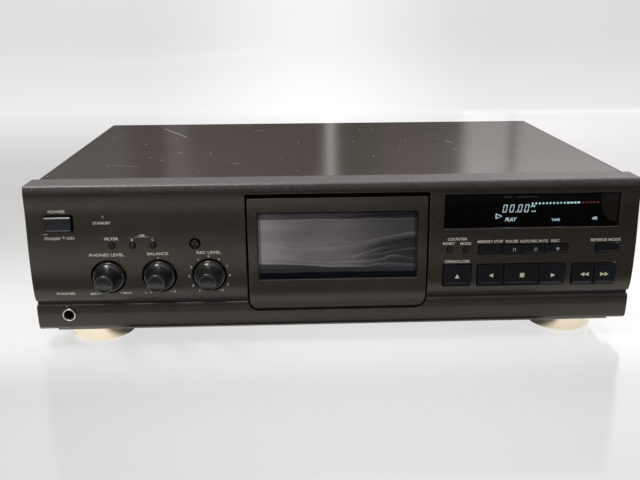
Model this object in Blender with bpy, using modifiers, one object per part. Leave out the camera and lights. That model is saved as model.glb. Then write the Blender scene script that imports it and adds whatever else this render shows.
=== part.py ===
"""Full-width cassette deck: steel chassis and cover, moulded front, tilting tape door,
auto-reverse tape mechanism, push buttons, rotary knobs, rear sockets and four round feet.

World frame: metres, +Z up, the front faces -Y, +X is to the right of someone facing the front.
The origin is at the centre of the overall box, at the height of the feet's undersides.

The sizes below are in millimetres in the front panel's own frame: x from the panel's centre,
y from the panel's upper front edge towards the back, z from the panel's bottom edge.
"""

import math

import bmesh
import bpy
from mathutils import Matrix, Vector

MM = 0.001

# ------------------------------------------------------------------ driving dimensions, mm
PANEL_W = 430.0
PANEL_H = 105.5                  # top edge; the lip reaches a little below zero
PANEL_BOTTOM = -0.5
PANEL_WALL = 2.5
STRIP_DEPTH = 21.8
COVER_W = 422.0
COVER_START = 22.2
COVER_END = 259.8
SHEET = 1.0
REAR_Y = 258.0
FOOT_HEIGHT = 14.2
FOOT_R = 24.0
FOOT_X = 177.0
FOOT_Y = (35.0, 226.0)
PAN_BOTTOM = -1.8
KNOB_FRONT = -18.6
SOCKET_REAR = 267.6

Z_SHIFT = -(PAN_BOTTOM - FOOT_HEIGHT)
Y_SHIFT = -0.5 * (KNOB_FRONT + SOCKET_REAR)

# tape door and mechanism
DOOR_X = 0.65                    # centre of the door opening
DOOR_OPENING = (-64.0, 65.3, 10.5, 97.8)
DOOR_OUTLINE = (-62.8, 64.1, 11.6, 94.7)
WINDOW = (-56.0, 57.8, 35.9, 84.8)
PIVOT = (2.8, 14.2)              # door hinge, y and z
BARREL_R = 2.6
CAPSTAN_DX, CAPSTAN_Z, CAPSTAN_R = 25.5, 34.0, 1.2
HUB_DX, HUB_Z = 21.25, 60.8
FLYWHEEL_R = 22.8
PULLEY_R = 5.7
PULLEY_DX, PULLEY_Z = 32.0, 83.0
ROLLER_R, ROLLER_Z = 6.0, 19.3
HEAD_Y = 11.8
MODULE = 1.0
SECTOR_TEETH, PINION_TEETH = 48, 10
PINION_ANGLE = math.radians(25.0)
GEAR_DISTANCE = 0.5 * MODULE * (SECTOR_TEETH + PINION_TEETH) + 0.2

# front profile of the panel as (y, z), from the top rear edge round to the bottom rear edge
TOP_EDGE = [(STRIP_DEPTH, PANEL_H), (2.3, PANEL_H), (1.2, 105.1), (0.5, 104.3)]
FACE = [(0.3, 102.6), (0.0, 97.0), (0.0, 88.0), (-0.5, 80.0), (-1.3, 71.0), (-2.1, 60.0),
        (-2.5, 48.0), (-2.4, 37.0), (-1.8, 29.0), (-0.8, 24.5), (0.6, 21.6)]
GROOVE = [(3.2, 21.0), (3.2, 19.0)]
LIP = [(1.4, 18.7), (0.5, 18.0), (0.1, 16.4), (-0.1, 11.6), (0.1, 5.4), (0.8, 1.2),
       (2.2, PANEL_BOTTOM), (STRIP_DEPTH, PANEL_BOTTOM)]
CAVITY = [(30.0, 103.0), (4.0, 103.0), (2.9, 101.5), (2.5, 96.0), (2.5, 88.0), (2.0, 80.0),
          (1.2, 71.0), (0.4, 60.0), (0.0, 48.0), (0.1, 37.0), (0.7, 29.0), (2.2, 24.5),
          (5.7, 22.8), (5.7, 18.0), (2.8, 16.0), (2.5, 12.0), (2.8, 6.0), (4.0, 2.5), (30.0, 2.5)]

# controls: x0, x1, z0, z1 of each rectangular button's face
TALL_ROW = {"open_close_button": (76.5, 96.2, 28.6, 44.4),
            "reverse_play_button": (101.3, 119.7, 28.4, 44.3),
            "stop_button": (120.4, 145.5, 28.4, 44.3),
            "forward_play_button": (146.2, 164.5, 28.4, 44.3),
            "rewind_button": (170.1, 185.5, 28.2, 43.9),
            "fast_forward_button": (186.2, 201.6, 28.2, 43.9)}
LOW_ROW = {"memory_button": (101.3, 118.1, 52.4, 58.6),
           "pause_button": (118.7, 132.5, 52.4, 58.6),
           "rec_mute_button": (133.1, 148.2, 52.4, 58.6),
           "record_button": (148.8, 165.3, 52.4, 58.6),
           "reverse_mode_button": (185.8, 201.9, 52.4, 58.4)}
BUTTON_GROUPS = [(76.5, 96.2, 28.6, 44.4), (101.3, 164.5, 28.4, 44.3), (170.1, 201.6, 28.2, 43.9),
                 (101.3, 165.3, 52.4, 58.6), (185.8, 201.9, 52.4, 58.4)]
ROUND_BUTTONS = {"filter_button": (-157.1, 63.2, 1.9), "noise_button_one": (-142.8, 63.2, 1.9),
                 "noise_button_two": (-128.7, 63.2, 1.9), "calibrate_button": (-99.6, 63.7, 2.75),
                 "counter_reset_button": (80.4, 56.2, 1.9), "counter_mode_button": (92.2, 56.0, 1.9)}
ROUND_HOLES = {"calibrate_button": 3.95}
POWER = (-201.5, -183.4, 74.2, 84.6)
LAMP = (-161.9, 83.7)
KNOBS = {"phones_level_knob": (-161.1, 40.2), "balance_knob": (-125.6, 40.3),
         "record_level_knob": (-90.4, 40.3)}
KNOB_HOLE_R = 12.2
DISPLAY = (75.9, 201.0, 71.2, 95.5)
PHONES = (-192.1, 11.4)
AUDIO_X = (118.0, 132.0, 150.0, 164.0)
AUDIO_Z = 62.0
INLET = (-172.0, 26.0)
SCREWS_Y = (66.0, 214.0)
SCREW_Z = 20.0

# ------------------------------------------------------------------ scene and collections
for old in list(bpy.data.objects):
    bpy.data.objects.remove(old, do_unlink=True)
for old in list(bpy.data.collections):
    bpy.data.collections.remove(old)

PARTS = bpy.data.collections.new("cassette_deck")
TOOLS = bpy.data.collections.new("cutters")
bpy.context.scene.collection.children.link(PARTS)
bpy.context.scene.collection.children.link(TOOLS)


def material(name, color, roughness, metallic=0.0, alpha=1.0):
    mat = bpy.data.materials.new(name)
    mat.use_nodes = True
    shader = mat.node_tree.nodes["Principled BSDF"]
    shader.inputs["Base Color"].default_value = (*color, 1.0)
    shader.inputs["Roughness"].default_value = roughness
    shader.inputs["Metallic"].default_value = metallic
    shader.inputs["Alpha"].default_value = alpha
    mat.diffuse_color = (*color, alpha)
    return mat


FINISH = {
    "panel": ((0.022, 0.020, 0.018), 0.38, 0.0),
    "door": ((0.020, 0.019, 0.018), 0.34, 0.0),
    "button": ((0.018, 0.020, 0.026), 0.32, 0.0),
    "knob": ((0.012, 0.012, 0.012), 0.26, 0.0),
    "cover": ((0.045, 0.038, 0.034), 0.36, 0.0),
    "zinc": ((0.55, 0.55, 0.53), 0.42, 0.9),
    "steel": ((0.62, 0.62, 0.62), 0.25, 1.0),
    "nickel": ((0.70, 0.68, 0.64), 0.20, 1.0),
    "gold": ((0.72, 0.60, 0.38), 0.30, 0.9),
    "black": ((0.012, 0.012, 0.013), 0.55, 0.0),
    "rubber": ((0.016, 0.016, 0.016), 0.80, 0.0),
    "board": ((0.10, 0.16, 0.07), 0.50, 0.0),
    "phenolic": ((0.30, 0.17, 0.07), 0.55, 0.0),
    "smoke": ((0.020, 0.020, 0.024), 0.06, 0.0),
    "glass": ((0.10, 0.13, 0.13), 0.05, 0.0),
    "white": ((0.70, 0.69, 0.66), 0.45, 0.0),
    "copper": ((0.75, 0.36, 0.16), 0.40, 0.6),
    "lamp": ((0.35, 0.03, 0.02), 0.20, 0.0),
}


# ------------------------------------------------------------------ modelling helpers
def place(x, y, z):
    return Vector((x * MM, (y + Y_SHIFT) * MM, (z + Z_SHIFT) * MM))


def link(name, mesh, matrix, finish=None):
    obj = bpy.data.objects.new(name, mesh)
    obj.matrix_world = matrix
    if finish is None:
        TOOLS.objects.link(obj)
        obj.hide_render = True
        obj.display_type = "WIRE"
    else:
        PARTS.objects.link(obj)
        color, roughness, metallic = FINISH[finish]
        mesh.materials.append(material(name, color, roughness, metallic))
    return obj


def mesh_from(name, bm):
    bmesh.ops.recalc_face_normals(bm, faces=bm.faces)
    mesh = bpy.data.meshes.new(name)
    bm.to_mesh(mesh)
    bm.free()
    return mesh


def block(name, x0, x1, y0, y1, z0, z1, finish=None):
    """A rectangular block, its origin at its centre."""
    bm = bmesh.new()
    bmesh.ops.create_cube(bm, size=1.0)
    bmesh.ops.scale(bm, vec=(abs(x1 - x0) * MM, abs(y1 - y0) * MM, abs(z1 - z0) * MM), verts=bm.verts)
    where = Matrix.Translation(place((x0 + x1) / 2, (y0 + y1) / 2, (z0 + z1) / 2))
    return link(name, mesh_from(name, bm), where, finish)


TURN = {"X": Matrix.Rotation(math.radians(90), 4, "Y"),
        "Y": Matrix.Rotation(math.radians(90), 4, "X"),
        "Z": Matrix.Identity(4)}


def rod(name, r, a, b, axis, where, finish=None, sides=16, r_end=None):
    """A round bar from a to b along an axis. where gives its two other coordinates in x, y, z order."""
    bm = bmesh.new()
    bmesh.ops.create_cone(bm, cap_ends=True, segments=sides, radius1=r * MM,
                          radius2=(r if r_end is None else r_end) * MM, depth=abs(b - a) * MM)
    mid = (a + b) / 2
    at = {"X": (mid, *where), "Y": (where[0], mid, where[1]), "Z": (*where, mid)}[axis]
    return link(name, mesh_from(name, bm), Matrix.Translation(place(*at)) @ TURN[axis], finish)


def islands(name, pieces):
    """Several blocks and bars in one mesh, as one operand of a join or a cut."""
    bm = bmesh.new()
    for kind, *p in pieces:
        if kind == "block":
            x0, x1, y0, y1, z0, z1 = p
            m = Matrix.Translation(place((x0 + x1) / 2, (y0 + y1) / 2, (z0 + z1) / 2))
            m = m @ Matrix.Diagonal((abs(x1 - x0) * MM, abs(y1 - y0) * MM, abs(z1 - z0) * MM, 1.0))
            bmesh.ops.create_cube(bm, size=1.0, matrix=m)
        else:
            r, a, b, axis, where, sides = p
            mid = (a + b) / 2
            at = {"X": (mid, *where), "Y": (where[0], mid, where[1]), "Z": (*where, mid)}[axis]
            bmesh.ops.create_cone(bm, cap_ends=True, segments=sides, radius1=r * MM, radius2=r * MM,
                                  depth=abs(b - a) * MM, matrix=Matrix.Translation(place(*at)) @ TURN[axis])
    return link(name, mesh_from(name, bm), Matrix.Identity(4))


def turned(name, profile, axis, centre, finish=None, steps=32):
    """A turned piece: profile is (radius, height) down the outer side from the top.
    On axis Y the height runs towards the front."""
    mesh = bpy.data.meshes.new(name)
    bm = bmesh.new()
    closed = profile[0] == profile[-1]
    verts = [bm.verts.new((r * MM, 0.0, h * MM)) for r, h in (profile[:-1] if closed else profile)]
    for a, b in zip(verts, verts[1:] + (verts[:1] if closed else [])):
        bm.edges.new((a, b))
    bm.to_mesh(mesh)
    bm.free()
    obj = link(name, mesh, Matrix.Translation(place(*centre)) @ TURN[axis], finish)
    screw = obj.modifiers.new("turn", "SCREW")
    screw.steps = screw.render_steps = steps
    screw.use_merge_vertices = True
    screw.merge_threshold = 0.00005
    screw.use_smooth_shade = True
    return obj


SECTION = {"YZ": Matrix(((0, 0, 1, 0), (1, 0, 0, 0), (0, 1, 0, 0), (0, 0, 0, 1))),
           "XZ": Matrix(((1, 0, 0, 0), (0, 0, -1, 0), (0, 1, 0, 0), (0, 0, 0, 1))),
           "XY": Matrix.Identity(4)}


def prism(name, plane, outlines, low, high, finish=None):
    """A flat outline, with any holes, drawn as a 2D curve in a plane and extruded from low to high."""
    curve = bpy.data.curves.new(name, "CURVE")
    curve.dimensions = "2D"
    curve.fill_mode = "BOTH"
    curve.extrude = abs(high - low) / 2 * MM
    for points in outlines:
        spline = curve.splines.new("POLY")
        spline.points.add(len(points) - 1)
        for p, (u, v) in zip(spline.points, points):
            p.co = (u * MM, v * MM, 0.0, 1.0)
        spline.use_cyclic_u = True
    temp = bpy.data.objects.new(name + "_outline", curve)
    bpy.context.scene.collection.objects.link(temp)
    bpy.context.view_layer.update()
    mesh = bpy.data.meshes.new_from_object(temp.evaluated_get(bpy.context.evaluated_depsgraph_get()))
    bpy.data.objects.remove(temp)
    bpy.data.curves.remove(curve)
    bm = bmesh.new()
    bm.from_mesh(mesh)
    bpy.data.meshes.remove(mesh)
    bmesh.ops.remove_doubles(bm, verts=bm.verts, dist=0.000001)
    mid = (low + high) / 2
    at = {"YZ": (mid, 0, 0), "XZ": (0, mid, 0), "XY": (0, 0, mid)}[plane]
    return link(name, mesh_from(name, bm), Matrix.Translation(place(*at)) @ SECTION[plane], finish)


def boolean(target, operand, operation):
    mod = target.modifiers.new(operation.lower() + "_" + operand.name, "BOOLEAN")
    mod.operation = operation
    mod.solver = "EXACT"
    mod.object = operand
    return target


def cut(target, *operands):
    for operand in operands:
        boolean(target, operand, "DIFFERENCE")
    return target


def join(target, *operands):
    for operand in operands:
        boolean(target, operand, "UNION")
    return target


def origin_at(obj, x, y, z):
    """Moves an object's origin to a point of its joint's axis and leaves its shape where it is."""
    move = obj.matrix_world.inverted() @ Matrix.Translation(place(x, y, z))
    shift = Matrix.Translation(move.translation)
    obj.data.transform(shift.inverted())
    obj.matrix_world = obj.matrix_world @ shift
    return obj


def round_off(obj, angle=35.0):
    obj.data.shade_smooth()
    obj.data.set_sharp_from_angle(angle=math.radians(angle))
    return obj


def softened(obj, width, segments=1):
    bevel = obj.modifiers.new("edge", "BEVEL")
    bevel.width = width * MM
    bevel.segments = segments
    bevel.limit_method = "ANGLE"
    bevel.angle_limit = math.radians(40)
    return obj


def rounded_outline(x0, x1, z0, z1, low_r, high_r, steps=5):
    """A rectangle with one radius on its lower corners and another on its upper ones."""
    points = []
    for cx, cz, r, start in ((x1 - low_r, z0 + low_r, low_r, -90), (x1 - high_r, z1 - high_r, high_r, 0),
                             (x0 + high_r, z1 - high_r, high_r, 90), (x0 + low_r, z0 + low_r, low_r, 180)):
        if r < 0.01:
            points.append((cx, cz))
            continue
        for i in range(steps + 1):
            a = math.radians(start + 90 * i / steps)
            points.append((cx + r * math.cos(a), cz + r * math.sin(a)))
    return points


def circle(cx, cy, r, sides=16):
    return [(cx + r * math.cos(2 * math.pi * i / sides), cy + r * math.sin(2 * math.pi * i / sides))
            for i in range(sides)]


def face_y(z):
    """The panel's front surface at a height."""
    for (ya, za), (yb, zb) in zip(FACE, FACE[1:]):
        if zb <= z <= za:
            return ya + (yb - ya) * (za - z) / (za - zb)
    return FACE[0][0] if z > FACE[0][1] else FACE[-1][0]


def grown(rect, gap):
    x0, x1, z0, z1 = rect
    return x0 - gap, x1 + gap, z0 - gap, z1 + gap


# ------------------------------------------------------------------ front panel
front = prism("front_panel", "YZ", [TOP_EDGE + FACE + GROOVE + LIP], -PANEL_W / 2, PANEL_W / 2, "panel")
cut(front, prism("panel_cavity", "YZ", [CAVITY], -PANEL_W / 2 + PANEL_WALL, PANEL_W / 2 - PANEL_WALL))

lugs = islands("hinge_lugs", [("block", DOOR_OPENING[0] - 4.6, DOOR_OPENING[0] - 0.3, 1.0, 6.8, 10.9, 15.9),
                              ("block", DOOR_OPENING[1] + 0.3, DOOR_OPENING[1] + 4.6, 1.0, 6.8, 10.9, 15.9)])
join(front, lugs)
cut(front, prism("door_cut", "XZ", [rounded_outline(*DOOR_OPENING, 8.5, 1.0)], -8.0, 15.0))
cut(front, islands("pivot_bores", [
    ("rod", 1.4, DOOR_OPENING[0] - 4.0, DOOR_OPENING[0] + 12.0, "X", PIVOT, 12),
    ("rod", 1.4, DOOR_OPENING[1] - 12.0, DOOR_OPENING[1] + 4.0, "X", PIVOT, 12)]))
panel_cuts = [("block", DISPLAY[0] - 0.3, DISPLAY[1] + 0.3, -8, 15, DISPLAY[2] - 0.3, DISPLAY[3] + 0.3),
              ("block", POWER[0] - 0.6, POWER[1] + 0.9, -8, 15, POWER[2] - 0.5, POWER[3] + 0.5),
              ("rod", 1.5, -8, 15, "Y", LAMP, 12),
              ("rod", 4.3, -8, 15, "Y", PHONES, 20)]
panel_cuts += [("rod", KNOB_HOLE_R, -8, 15, "Y", where, 28) for where in KNOBS.values()]
panel_cuts += [("rod", ROUND_HOLES.get(n, 2.3), -8, 15, "Y", (x, z), 12) for n, (x, z, r) in ROUND_BUTTONS.items()]
cut(front, islands("panel_openings", panel_cuts))
for i, rect in enumerate(BUTTON_GROUPS):
    low_r = 1.6 if rect[3] - rect[2] > 10 else 0.8
    cut(front, prism(f"button_opening_{i}", "XZ", [rounded_outline(*grown(rect, 0.6), low_r, 0.4, 2)], -8.0, 15.0))

# display: smoked window that follows the panel's face, tube behind it, board with the key switches and the tube's cradle
z_hi, z_lo = DISPLAY[3], DISPLAY[2]
window_face = [(face_y(z) + 0.25, z) for z in (z_hi, 88.0, 80.0, z_lo)]
prism("display_window", "YZ", [window_face + [(1.7, z_lo), (2.6, 80.0), (3.0, z_hi)]],
      DISPLAY[0], DISPLAY[1], "smoke")
softened(block("display_tube", 86.0, 192.0, 4.2, 11.0, 74.0, 93.5, "glass"), 0.8)

board = block("display_board", 72.0, 207.0, 18.2, 19.8, 22.5, 100.0, "phenolic")
keys = []
for x0, x1, z0, z1 in list(TALL_ROW.values()) + list(LOW_ROW.values()):
    cx, cz = (x0 + x1) / 2, (z0 + z1) / 2
    keys.append(("block", cx - 3, cx + 3, 10.4, 18.6, cz - 3, cz + 3))
for n in ("counter_reset_button", "counter_mode_button"):
    cx, cz, r = ROUND_BUTTONS[n]
    keys.append(("block", cx - 3, cx + 3, 10.4, 18.6, cz - 3, cz + 3))
keys.append(("block", 92.0, 186.0, 11.3, 18.6, 78.0, 90.0))
join(board, islands("key_switches", keys))

# level board: three potentiometers with hollow bushings, the latching switches and the mains switch
board = block("level_board", -207.0, -72.0, 18.2, 19.8, 24.0, 100.0, "phenolic")
pots = [("block", x - 8.5, x + 8.5, 9.0, 18.6, z - 8.5, z + 8.5) for x, z in KNOBS.values()]
join(board, islands("potentiometers", pots))
join(board, islands("bushings", [("rod", 4.6, 4.6, 9.8, "Y", where, 16) for where in KNOBS.values()]))
cut(board, islands("bushing_bores", [("rod", 3.3, 0.0, 15.0, "Y", where, 16) for where in KNOBS.values()]))
switches = [("block", x - 3.2, x + 3.2, 12.0, 18.6, z - 3.2, z + 3.2)
            for n, (x, z, r) in ROUND_BUTTONS.items() if x < 0]
switches.append(("block", -199.0, -185.0, 13.6, 18.6, 74.0, 85.0))
switches.append(("block", LAMP[0] - 2.0, LAMP[0] + 2.0, 6.3, 18.6, LAMP[1] - 2.0, LAMP[1] + 2.0))
join(board, islands("latch_switches", switches))

rod("standby_lamp", 1.2, -0.6, 6.0, "Y", LAMP, "lamp", 10)

# phones socket: body behind the lip, threaded barrel through it, ring in front
px, pz = PHONES
socket = block("phones_socket", px - 6.5, px + 6.5, 6.3, 32.0, pz - 7.6, pz + 7.6, "nickel")
join(socket, rod("phones_barrel", 3.98, -1.0, 8.0, "Y", PHONES, sides=24))
join(socket, rod("phones_flange", 4.7, -1.9, -0.4, "Y", PHONES, sides=24))
cut(socket, rod("phones_bore", 3.175, -5.0, 29.0, "Y", PHONES, sides=16))

# ------------------------------------------------------------------ chassis, cover, rear
S, W = SHEET, 209.2
pan = [(-202.3, PAN_BOTTOM), (202.3, PAN_BOTTOM), (204.3, 0.2), (W, 0.2), (W, 30.0), (W - S, 30.0),
       (W - S, 0.2 + S), (203.9, 0.2 + S), (201.9, PAN_BOTTOM + S), (-201.9, PAN_BOTTOM + S),
       (-203.9, 0.2 + S), (-W + S, 0.2 + S), (-W + S, 30.0), (-W, 30.0), (-W, 0.2), (-204.3, 0.2)]
chassis = prism("chassis", "XZ", [pan], 2.6, 257.6, "zinc")
cut(chassis, islands("pan_front_corners", [("block", -220, -201.9, -5, COVER_START, -6, 40),
                                           ("block", 201.9, 220, -5, COVER_START, -6, 40)]))
vents = [("block", x - 1.5, x + 1.5, y0, y0 + 34, -6, 3)
         for x0, y0 in ((-160.0, 150.0), (60.0, 150.0)) for x in (x0 + 9.0 * i for i in range(8))]
cut(chassis, islands("pan_vents", vents))
cut(chassis, islands("chassis_screw_holes", [("rod", 2.1, s * 204, s * 213, "X", (y, SCREW_Z), 10)
                                             for s in (-1, 1) for y in SCREWS_Y]))

H, C, r = PANEL_H, COVER_W / 2, 2.2


def bend(cx, cz, r, a0, a1, n=4):
    return [(cx + r * math.cos(math.radians(a0 + (a1 - a0) * i / n)),
             cz + r * math.sin(math.radians(a0 + (a1 - a0) * i / n))) for i in range(n + 1)]


shell = ([(C, 0.6)] + bend(C - r, H - r, r, 0, 90) + bend(-C + r, H - r, r, 90, 180) + [(-C, 0.6), (-C + S, 0.6)]
         + bend(-C + r, H - r, r - S, 180, 90) + bend(C - r, H - r, r - S, 90, 0) + [(C - S, 0.6)])
cover = prism("top_cover", "XZ", [shell], COVER_START, COVER_END, "cover")
cut(cover, islands("cover_screw_holes", [("rod", 2.1, s * 205, s * 214, "X", (y, SCREW_Z), 10)
                                         for s in (-1, 1) for y in SCREWS_Y]))
for side, s in (("left", -1), ("right", 1)):
    for end, y in zip(("front", "rear"), SCREWS_Y):
        profile = [(0.0, 2.0), (2.8, 1.7), (4.4, 0.6), (4.4, 0.0), (1.7, 0.0), (1.7, -5.0), (0.0, -5.0)]
        screw = turned(f"cover_screw_{end}_{side}", profile, "X" if s > 0 else "Z", (s * (C + 0.3), y, SCREW_Z),
                       "black", steps=12)
        if s < 0:
            screw.matrix_world = Matrix.Translation(place(-C - 0.3, y, SCREW_Z)) @ Matrix.Rotation(-math.pi / 2, 4, "Y")

holes = [circle(x, AUDIO_Z + dz, 5.8, 16) for x in (AUDIO_X[0], AUDIO_X[2]) for dz in (-7.0, 7.0)]
ix, iz = INLET
holes.append([(ix - 13.4, iz - 8.4), (ix + 13.4, iz - 8.4), (ix + 13.4, iz + 8.4), (ix - 13.4, iz + 8.4)])
rear_outline = [(-208.8, 1.6), (208.8, 1.6), (208.8, 103.8), (-208.8, 103.8)]
prism("rear_panel", "XZ", [rear_outline] + holes, REAR_Y, REAR_Y + SHEET, "cover")

sockets = block("audio_sockets", AUDIO_X[0] - 9, AUDIO_X[2] + 9, 243.0, 257.4, AUDIO_Z - 16, AUDIO_Z + 16, "black")
spots = [(x, AUDIO_Z + dz) for x in (AUDIO_X[0], AUDIO_X[2]) for dz in (-7.0, 7.0)]
join(sockets, islands("socket_collars", [("rod", 5.3, 256.0, 260.4, "Y", p, 14) for p in spots]))
join(sockets, islands("socket_barrels", [("rod", 4.15, 259.0, SOCKET_REAR, "Y", p, 14) for p in spots]))
cut(sockets, islands("socket_bores", [("rod", 1.7, 252.0, 272.0, "Y", p, 8) for p in spots]))

inlet = block("mains_inlet", ix - 13, ix + 13, 238.0, 260.6, iz - 8, iz + 8, "black")
cavity = rounded_outline(ix - 8.7, ix + 8.7, iz - 4.4, iz + 4.4, 4.3, 4.3, 5)
cut(inlet, prism("inlet_cavity", "XZ", [cavity], 248.0, 265.0))
join(inlet, islands("inlet_pins", [("rod", 1.2, 245.0, 258.0, "Y", (ix + s * 4.3, iz), 10) for s in (-1, 1)]))

# transformer on the pan, main board with its parts
transformer = block("transformer", -196.0, -136.0, 150.0, 186.0, -0.5, 51.0, "zinc")
join(transformer, block("transformer_coil", -186.0, -146.0, 141.0, 195.0, 9.0, 43.0))
main = block("main_board", -118.0, 196.0, 120.0, 236.0, 8.0, 9.6, "board")
parts = [("block", 20.0, 64.0, 150.0, 156.0, 9.0, 44.0), ("block", -20.0, 6.0, 170.0, 184.0, 9.0, 12.6),
         ("block", 96.0, 122.0, 170.0, 184.0, 9.0, 12.6), ("block", 118.0, 150.0, 208.0, 230.0, 9.0, 14.0)]
parts += [("rod", 8.0, 9.0, 36.0, "Z", (-96.0 + 20.0 * i, 146.0), 12) for i in range(3)]
parts += [("rod", 4.0, 9.0, 22.0, "Z", (-90.0 + 20.0 * i, 212.0), 8) for i in range(5)]
join(main, islands("main_board_parts", parts))
join(main, islands("main_board_pillars", [("block", x - 3, x + 3, y - 3, y + 3, -0.5, 8.8)
                                          for x in (-112.0, 190.0) for y in (126.0, 230.0)]))

# feet: a broad round foot with softened rims
for side, s in (("left", -1), ("right", 1)):
    for end, y in zip(("front", "rear"), FOOT_Y):
        h = FOOT_HEIGHT
        profile = [(0.0, h - 0.3), (22.8, h - 0.3), (FOOT_R, h - 1.6), (FOOT_R, 1.4), (22.6, 0.0), (0.0, 0.0)]
        round_off(turned(f"foot_{end}_{side}", profile, "Z", (s * FOOT_X, y, PAN_BOTTOM - h), "gold", steps=24))

# ------------------------------------------------------------------ push buttons
for name, (x0, x1, z0, z1) in TALL_ROW.items():
    body = block(name, x0, x1, -3.3, 9.0, z0, z1, "button")
    softened(body, 0.5)
for name, (x0, x1, z0, z1) in LOW_ROW.items():
    body = block(name, x0, x1, -3.0, 9.0, z0, z1, "button")
    softened(body, 0.4)
for name, (x, z, r) in ROUND_BUTTONS.items():
    tip = face_y(z) - (1.2 if r < 2 else 0.8)
    back = 9.6 if x < 0 else 8.8
    softened(rod(name, r, tip, back, "Y", (x, z), "button", 10), 0.3)
x0, x1, z0, z1 = POWER
softened(block("power_button", x0, x1, -3.3, 10.6, z0, z1, "button"), 0.5)

# ------------------------------------------------------------------ knobs, flared from a wide skirt to a slim grip
GRIP = [(0.0, 0.0), (5.6, 0.0), (6.4, 0.8), (6.6, 4.0), (7.2, 8.4), (8.6, 12.4), (10.9, 15.4), (10.9, 16.6),
        (10.3, 16.9), (3.0, 16.9), (3.0, 33.0), (0.0, 33.0)]
for name, (x, z) in KNOBS.items():
    profile = [(r, -h) for r, h in GRIP]
    round_off(turned(name, profile, "Y", (x, KNOB_FRONT, z), "knob", steps=26))

# ------------------------------------------------------------------ tape door
DO = DOOR_OUTLINE
front_line = [(face_y(z) + (0.5 if z > 95 else 0.0), z) for z in (DO[3], 88.0, 80.0, 71.0, 60.0, 48.0, 37.0, 29.0)]
front_line += [(-1.2, 24.0), (-0.6, 20.0), (-0.1, 17.0)]
barrel = [(PIVOT[0] + BARREL_R * math.cos(math.radians(a)), PIVOT[1] + BARREL_R * math.sin(math.radians(a)))
          for a in range(180, 406, 20)]
door_section = front_line + barrel + [(1.4, 25.0), (1.4, 60.0), (2.6, 84.0), (2.8, DO[3])]
door = prism("door_frame", "YZ", [door_section], DO[0], DO[1], "door")
boolean(door, prism("door_outline", "XZ", [rounded_outline(*DO, 7.8, 0.8)], -12.0, 12.0), "INTERSECT")
glass_z = [WINDOW[3] - 0.3, 80.0, 71.0, 60.0, 48.0, WINDOW[2] + 0.3]
seat_z = [WINDOW[3]] + glass_z[1:-1] + [WINDOW[2]]
seat = [(-8.0, WINDOW[2]), (-8.0, WINDOW[3])] + [(face_y(z) + 1.9, z) for z in seat_z]
cut(door, prism("window_seat", "YZ", [seat], WINDOW[0], WINDOW[1]))
cut(door, block("window_aperture", WINDOW[0] + 3, WINDOW[1] - 3, -8.0, 8.0, WINDOW[2] + 3, WINDOW[3] - 3))
join(door, islands("door_pins", [("rod", 1.1, DO[0] - 4.4, DO[0] + 5.0, "X", PIVOT, 10),
                                 ("rod", 1.1, DO[1] - 5.0, DO[1] + 4.4, "X", PIVOT, 10)]))
origin_at(door, DOOR_X, *PIVOT)
pane = [(face_y(z) + 0.3, z) for z in glass_z] + [(face_y(z) + 1.6, z) for z in reversed(glass_z)]
pane = prism("door_window", "YZ", [pane], WINDOW[0] + 0.3, WINDOW[1] - 0.3, "smoke")
origin_at(pane, DOOR_X, *PIVOT)


def gear(teeth, module, tooth_range=None, turn=0.0, centre=(0.0, 0.0), inner=None):
    """Outline of a straight-flanked gear, or of a sector of one that closes round an inner radius."""
    pitch_r = 0.5 * module * teeth
    tip, root = pitch_r + 0.8 * module, pitch_r - 1.1 * module
    step = 2 * math.pi / teeth
    half_root, half_tip = 0.85 * module / root, 0.36 * module / tip
    first, last = tooth_range or (0, teeth - 1)
    points = []
    for k in range(first, last + 1):
        a = turn + k * step
        for radius, off in ((root, -half_root), (tip, -half_tip), (tip, half_tip), (root, half_root)):
            points.append((centre[0] + radius * math.cos(a + off), centre[1] + radius * math.sin(a + off)))
    if inner:
        for k in (last, (first + last) // 2, first):
            a = turn + k * step
            points.append((centre[0] + inner * math.cos(a), centre[1] + inner * math.sin(a)))
    return points


# cassette holder: front plate with an opening, channels at both sides, resting tabs, toothed sector
X = DOOR_X
frame = [(X - 52.3, 24.4), (X - 37.0, 24.4), (X - 37.0, 28.0), (X + 37.0, 28.0), (X + 37.0, 24.4), (X + 52.3, 24.4),
         (X + 52.3, 90.0), (X - 52.3, 90.0)]
aperture = [(X - 46.0, 38.0), (X + 46.0, 38.0), (X + 46.0, 83.0), (X - 46.0, 83.0)]
holder = prism("cassette_holder", "XZ", [frame, aperture], 3.4, 4.6, "black")
walls, lips = [], []
for s in (-1, 1):
    walls.append(("block", X + s * 50.8, X + s * 52.0, 3.6, 18.8, 24.6, 89.8))
    lips.append(("block", X + s * 48.3, X + s * 51.4, 17.6, 18.6, 32.0, 89.4))
    lips.append(("block", X + s * 38.3, X + s * 51.4, 4.0, 18.3, 24.8, 25.8))
    lips += [("block", X + s * 47.0, X + s * 51.0, y, 3.9, z - 2, z + 2) for y, z in ((1.7, 32.0), (3.1, 87.0))]
join(holder, islands("holder_walls", walls))
join(holder, islands("holder_lips", lips))
step = 2 * math.pi / SECTOR_TEETH
mesh_tooth = PINION_ANGLE
first = -int(round(math.radians(38) / step))
sector = gear(SECTOR_TEETH, MODULE, (first, 2), mesh_tooth, PIVOT, None)
end_low, end_high = mesh_tooth + first * step, mesh_tooth + 2 * step
back = [(18.0, 44.0), (8.0, 40.0), (8.0, 26.0), (PIVOT[0] + 15 * math.cos(end_low), PIVOT[1] + 15 * math.sin(end_low))]
join(holder, prism("door_sector", "YZ", [sector + back], X + 51.2, X + 53.0))
origin_at(holder, DOOR_X, *PIVOT)

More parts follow.
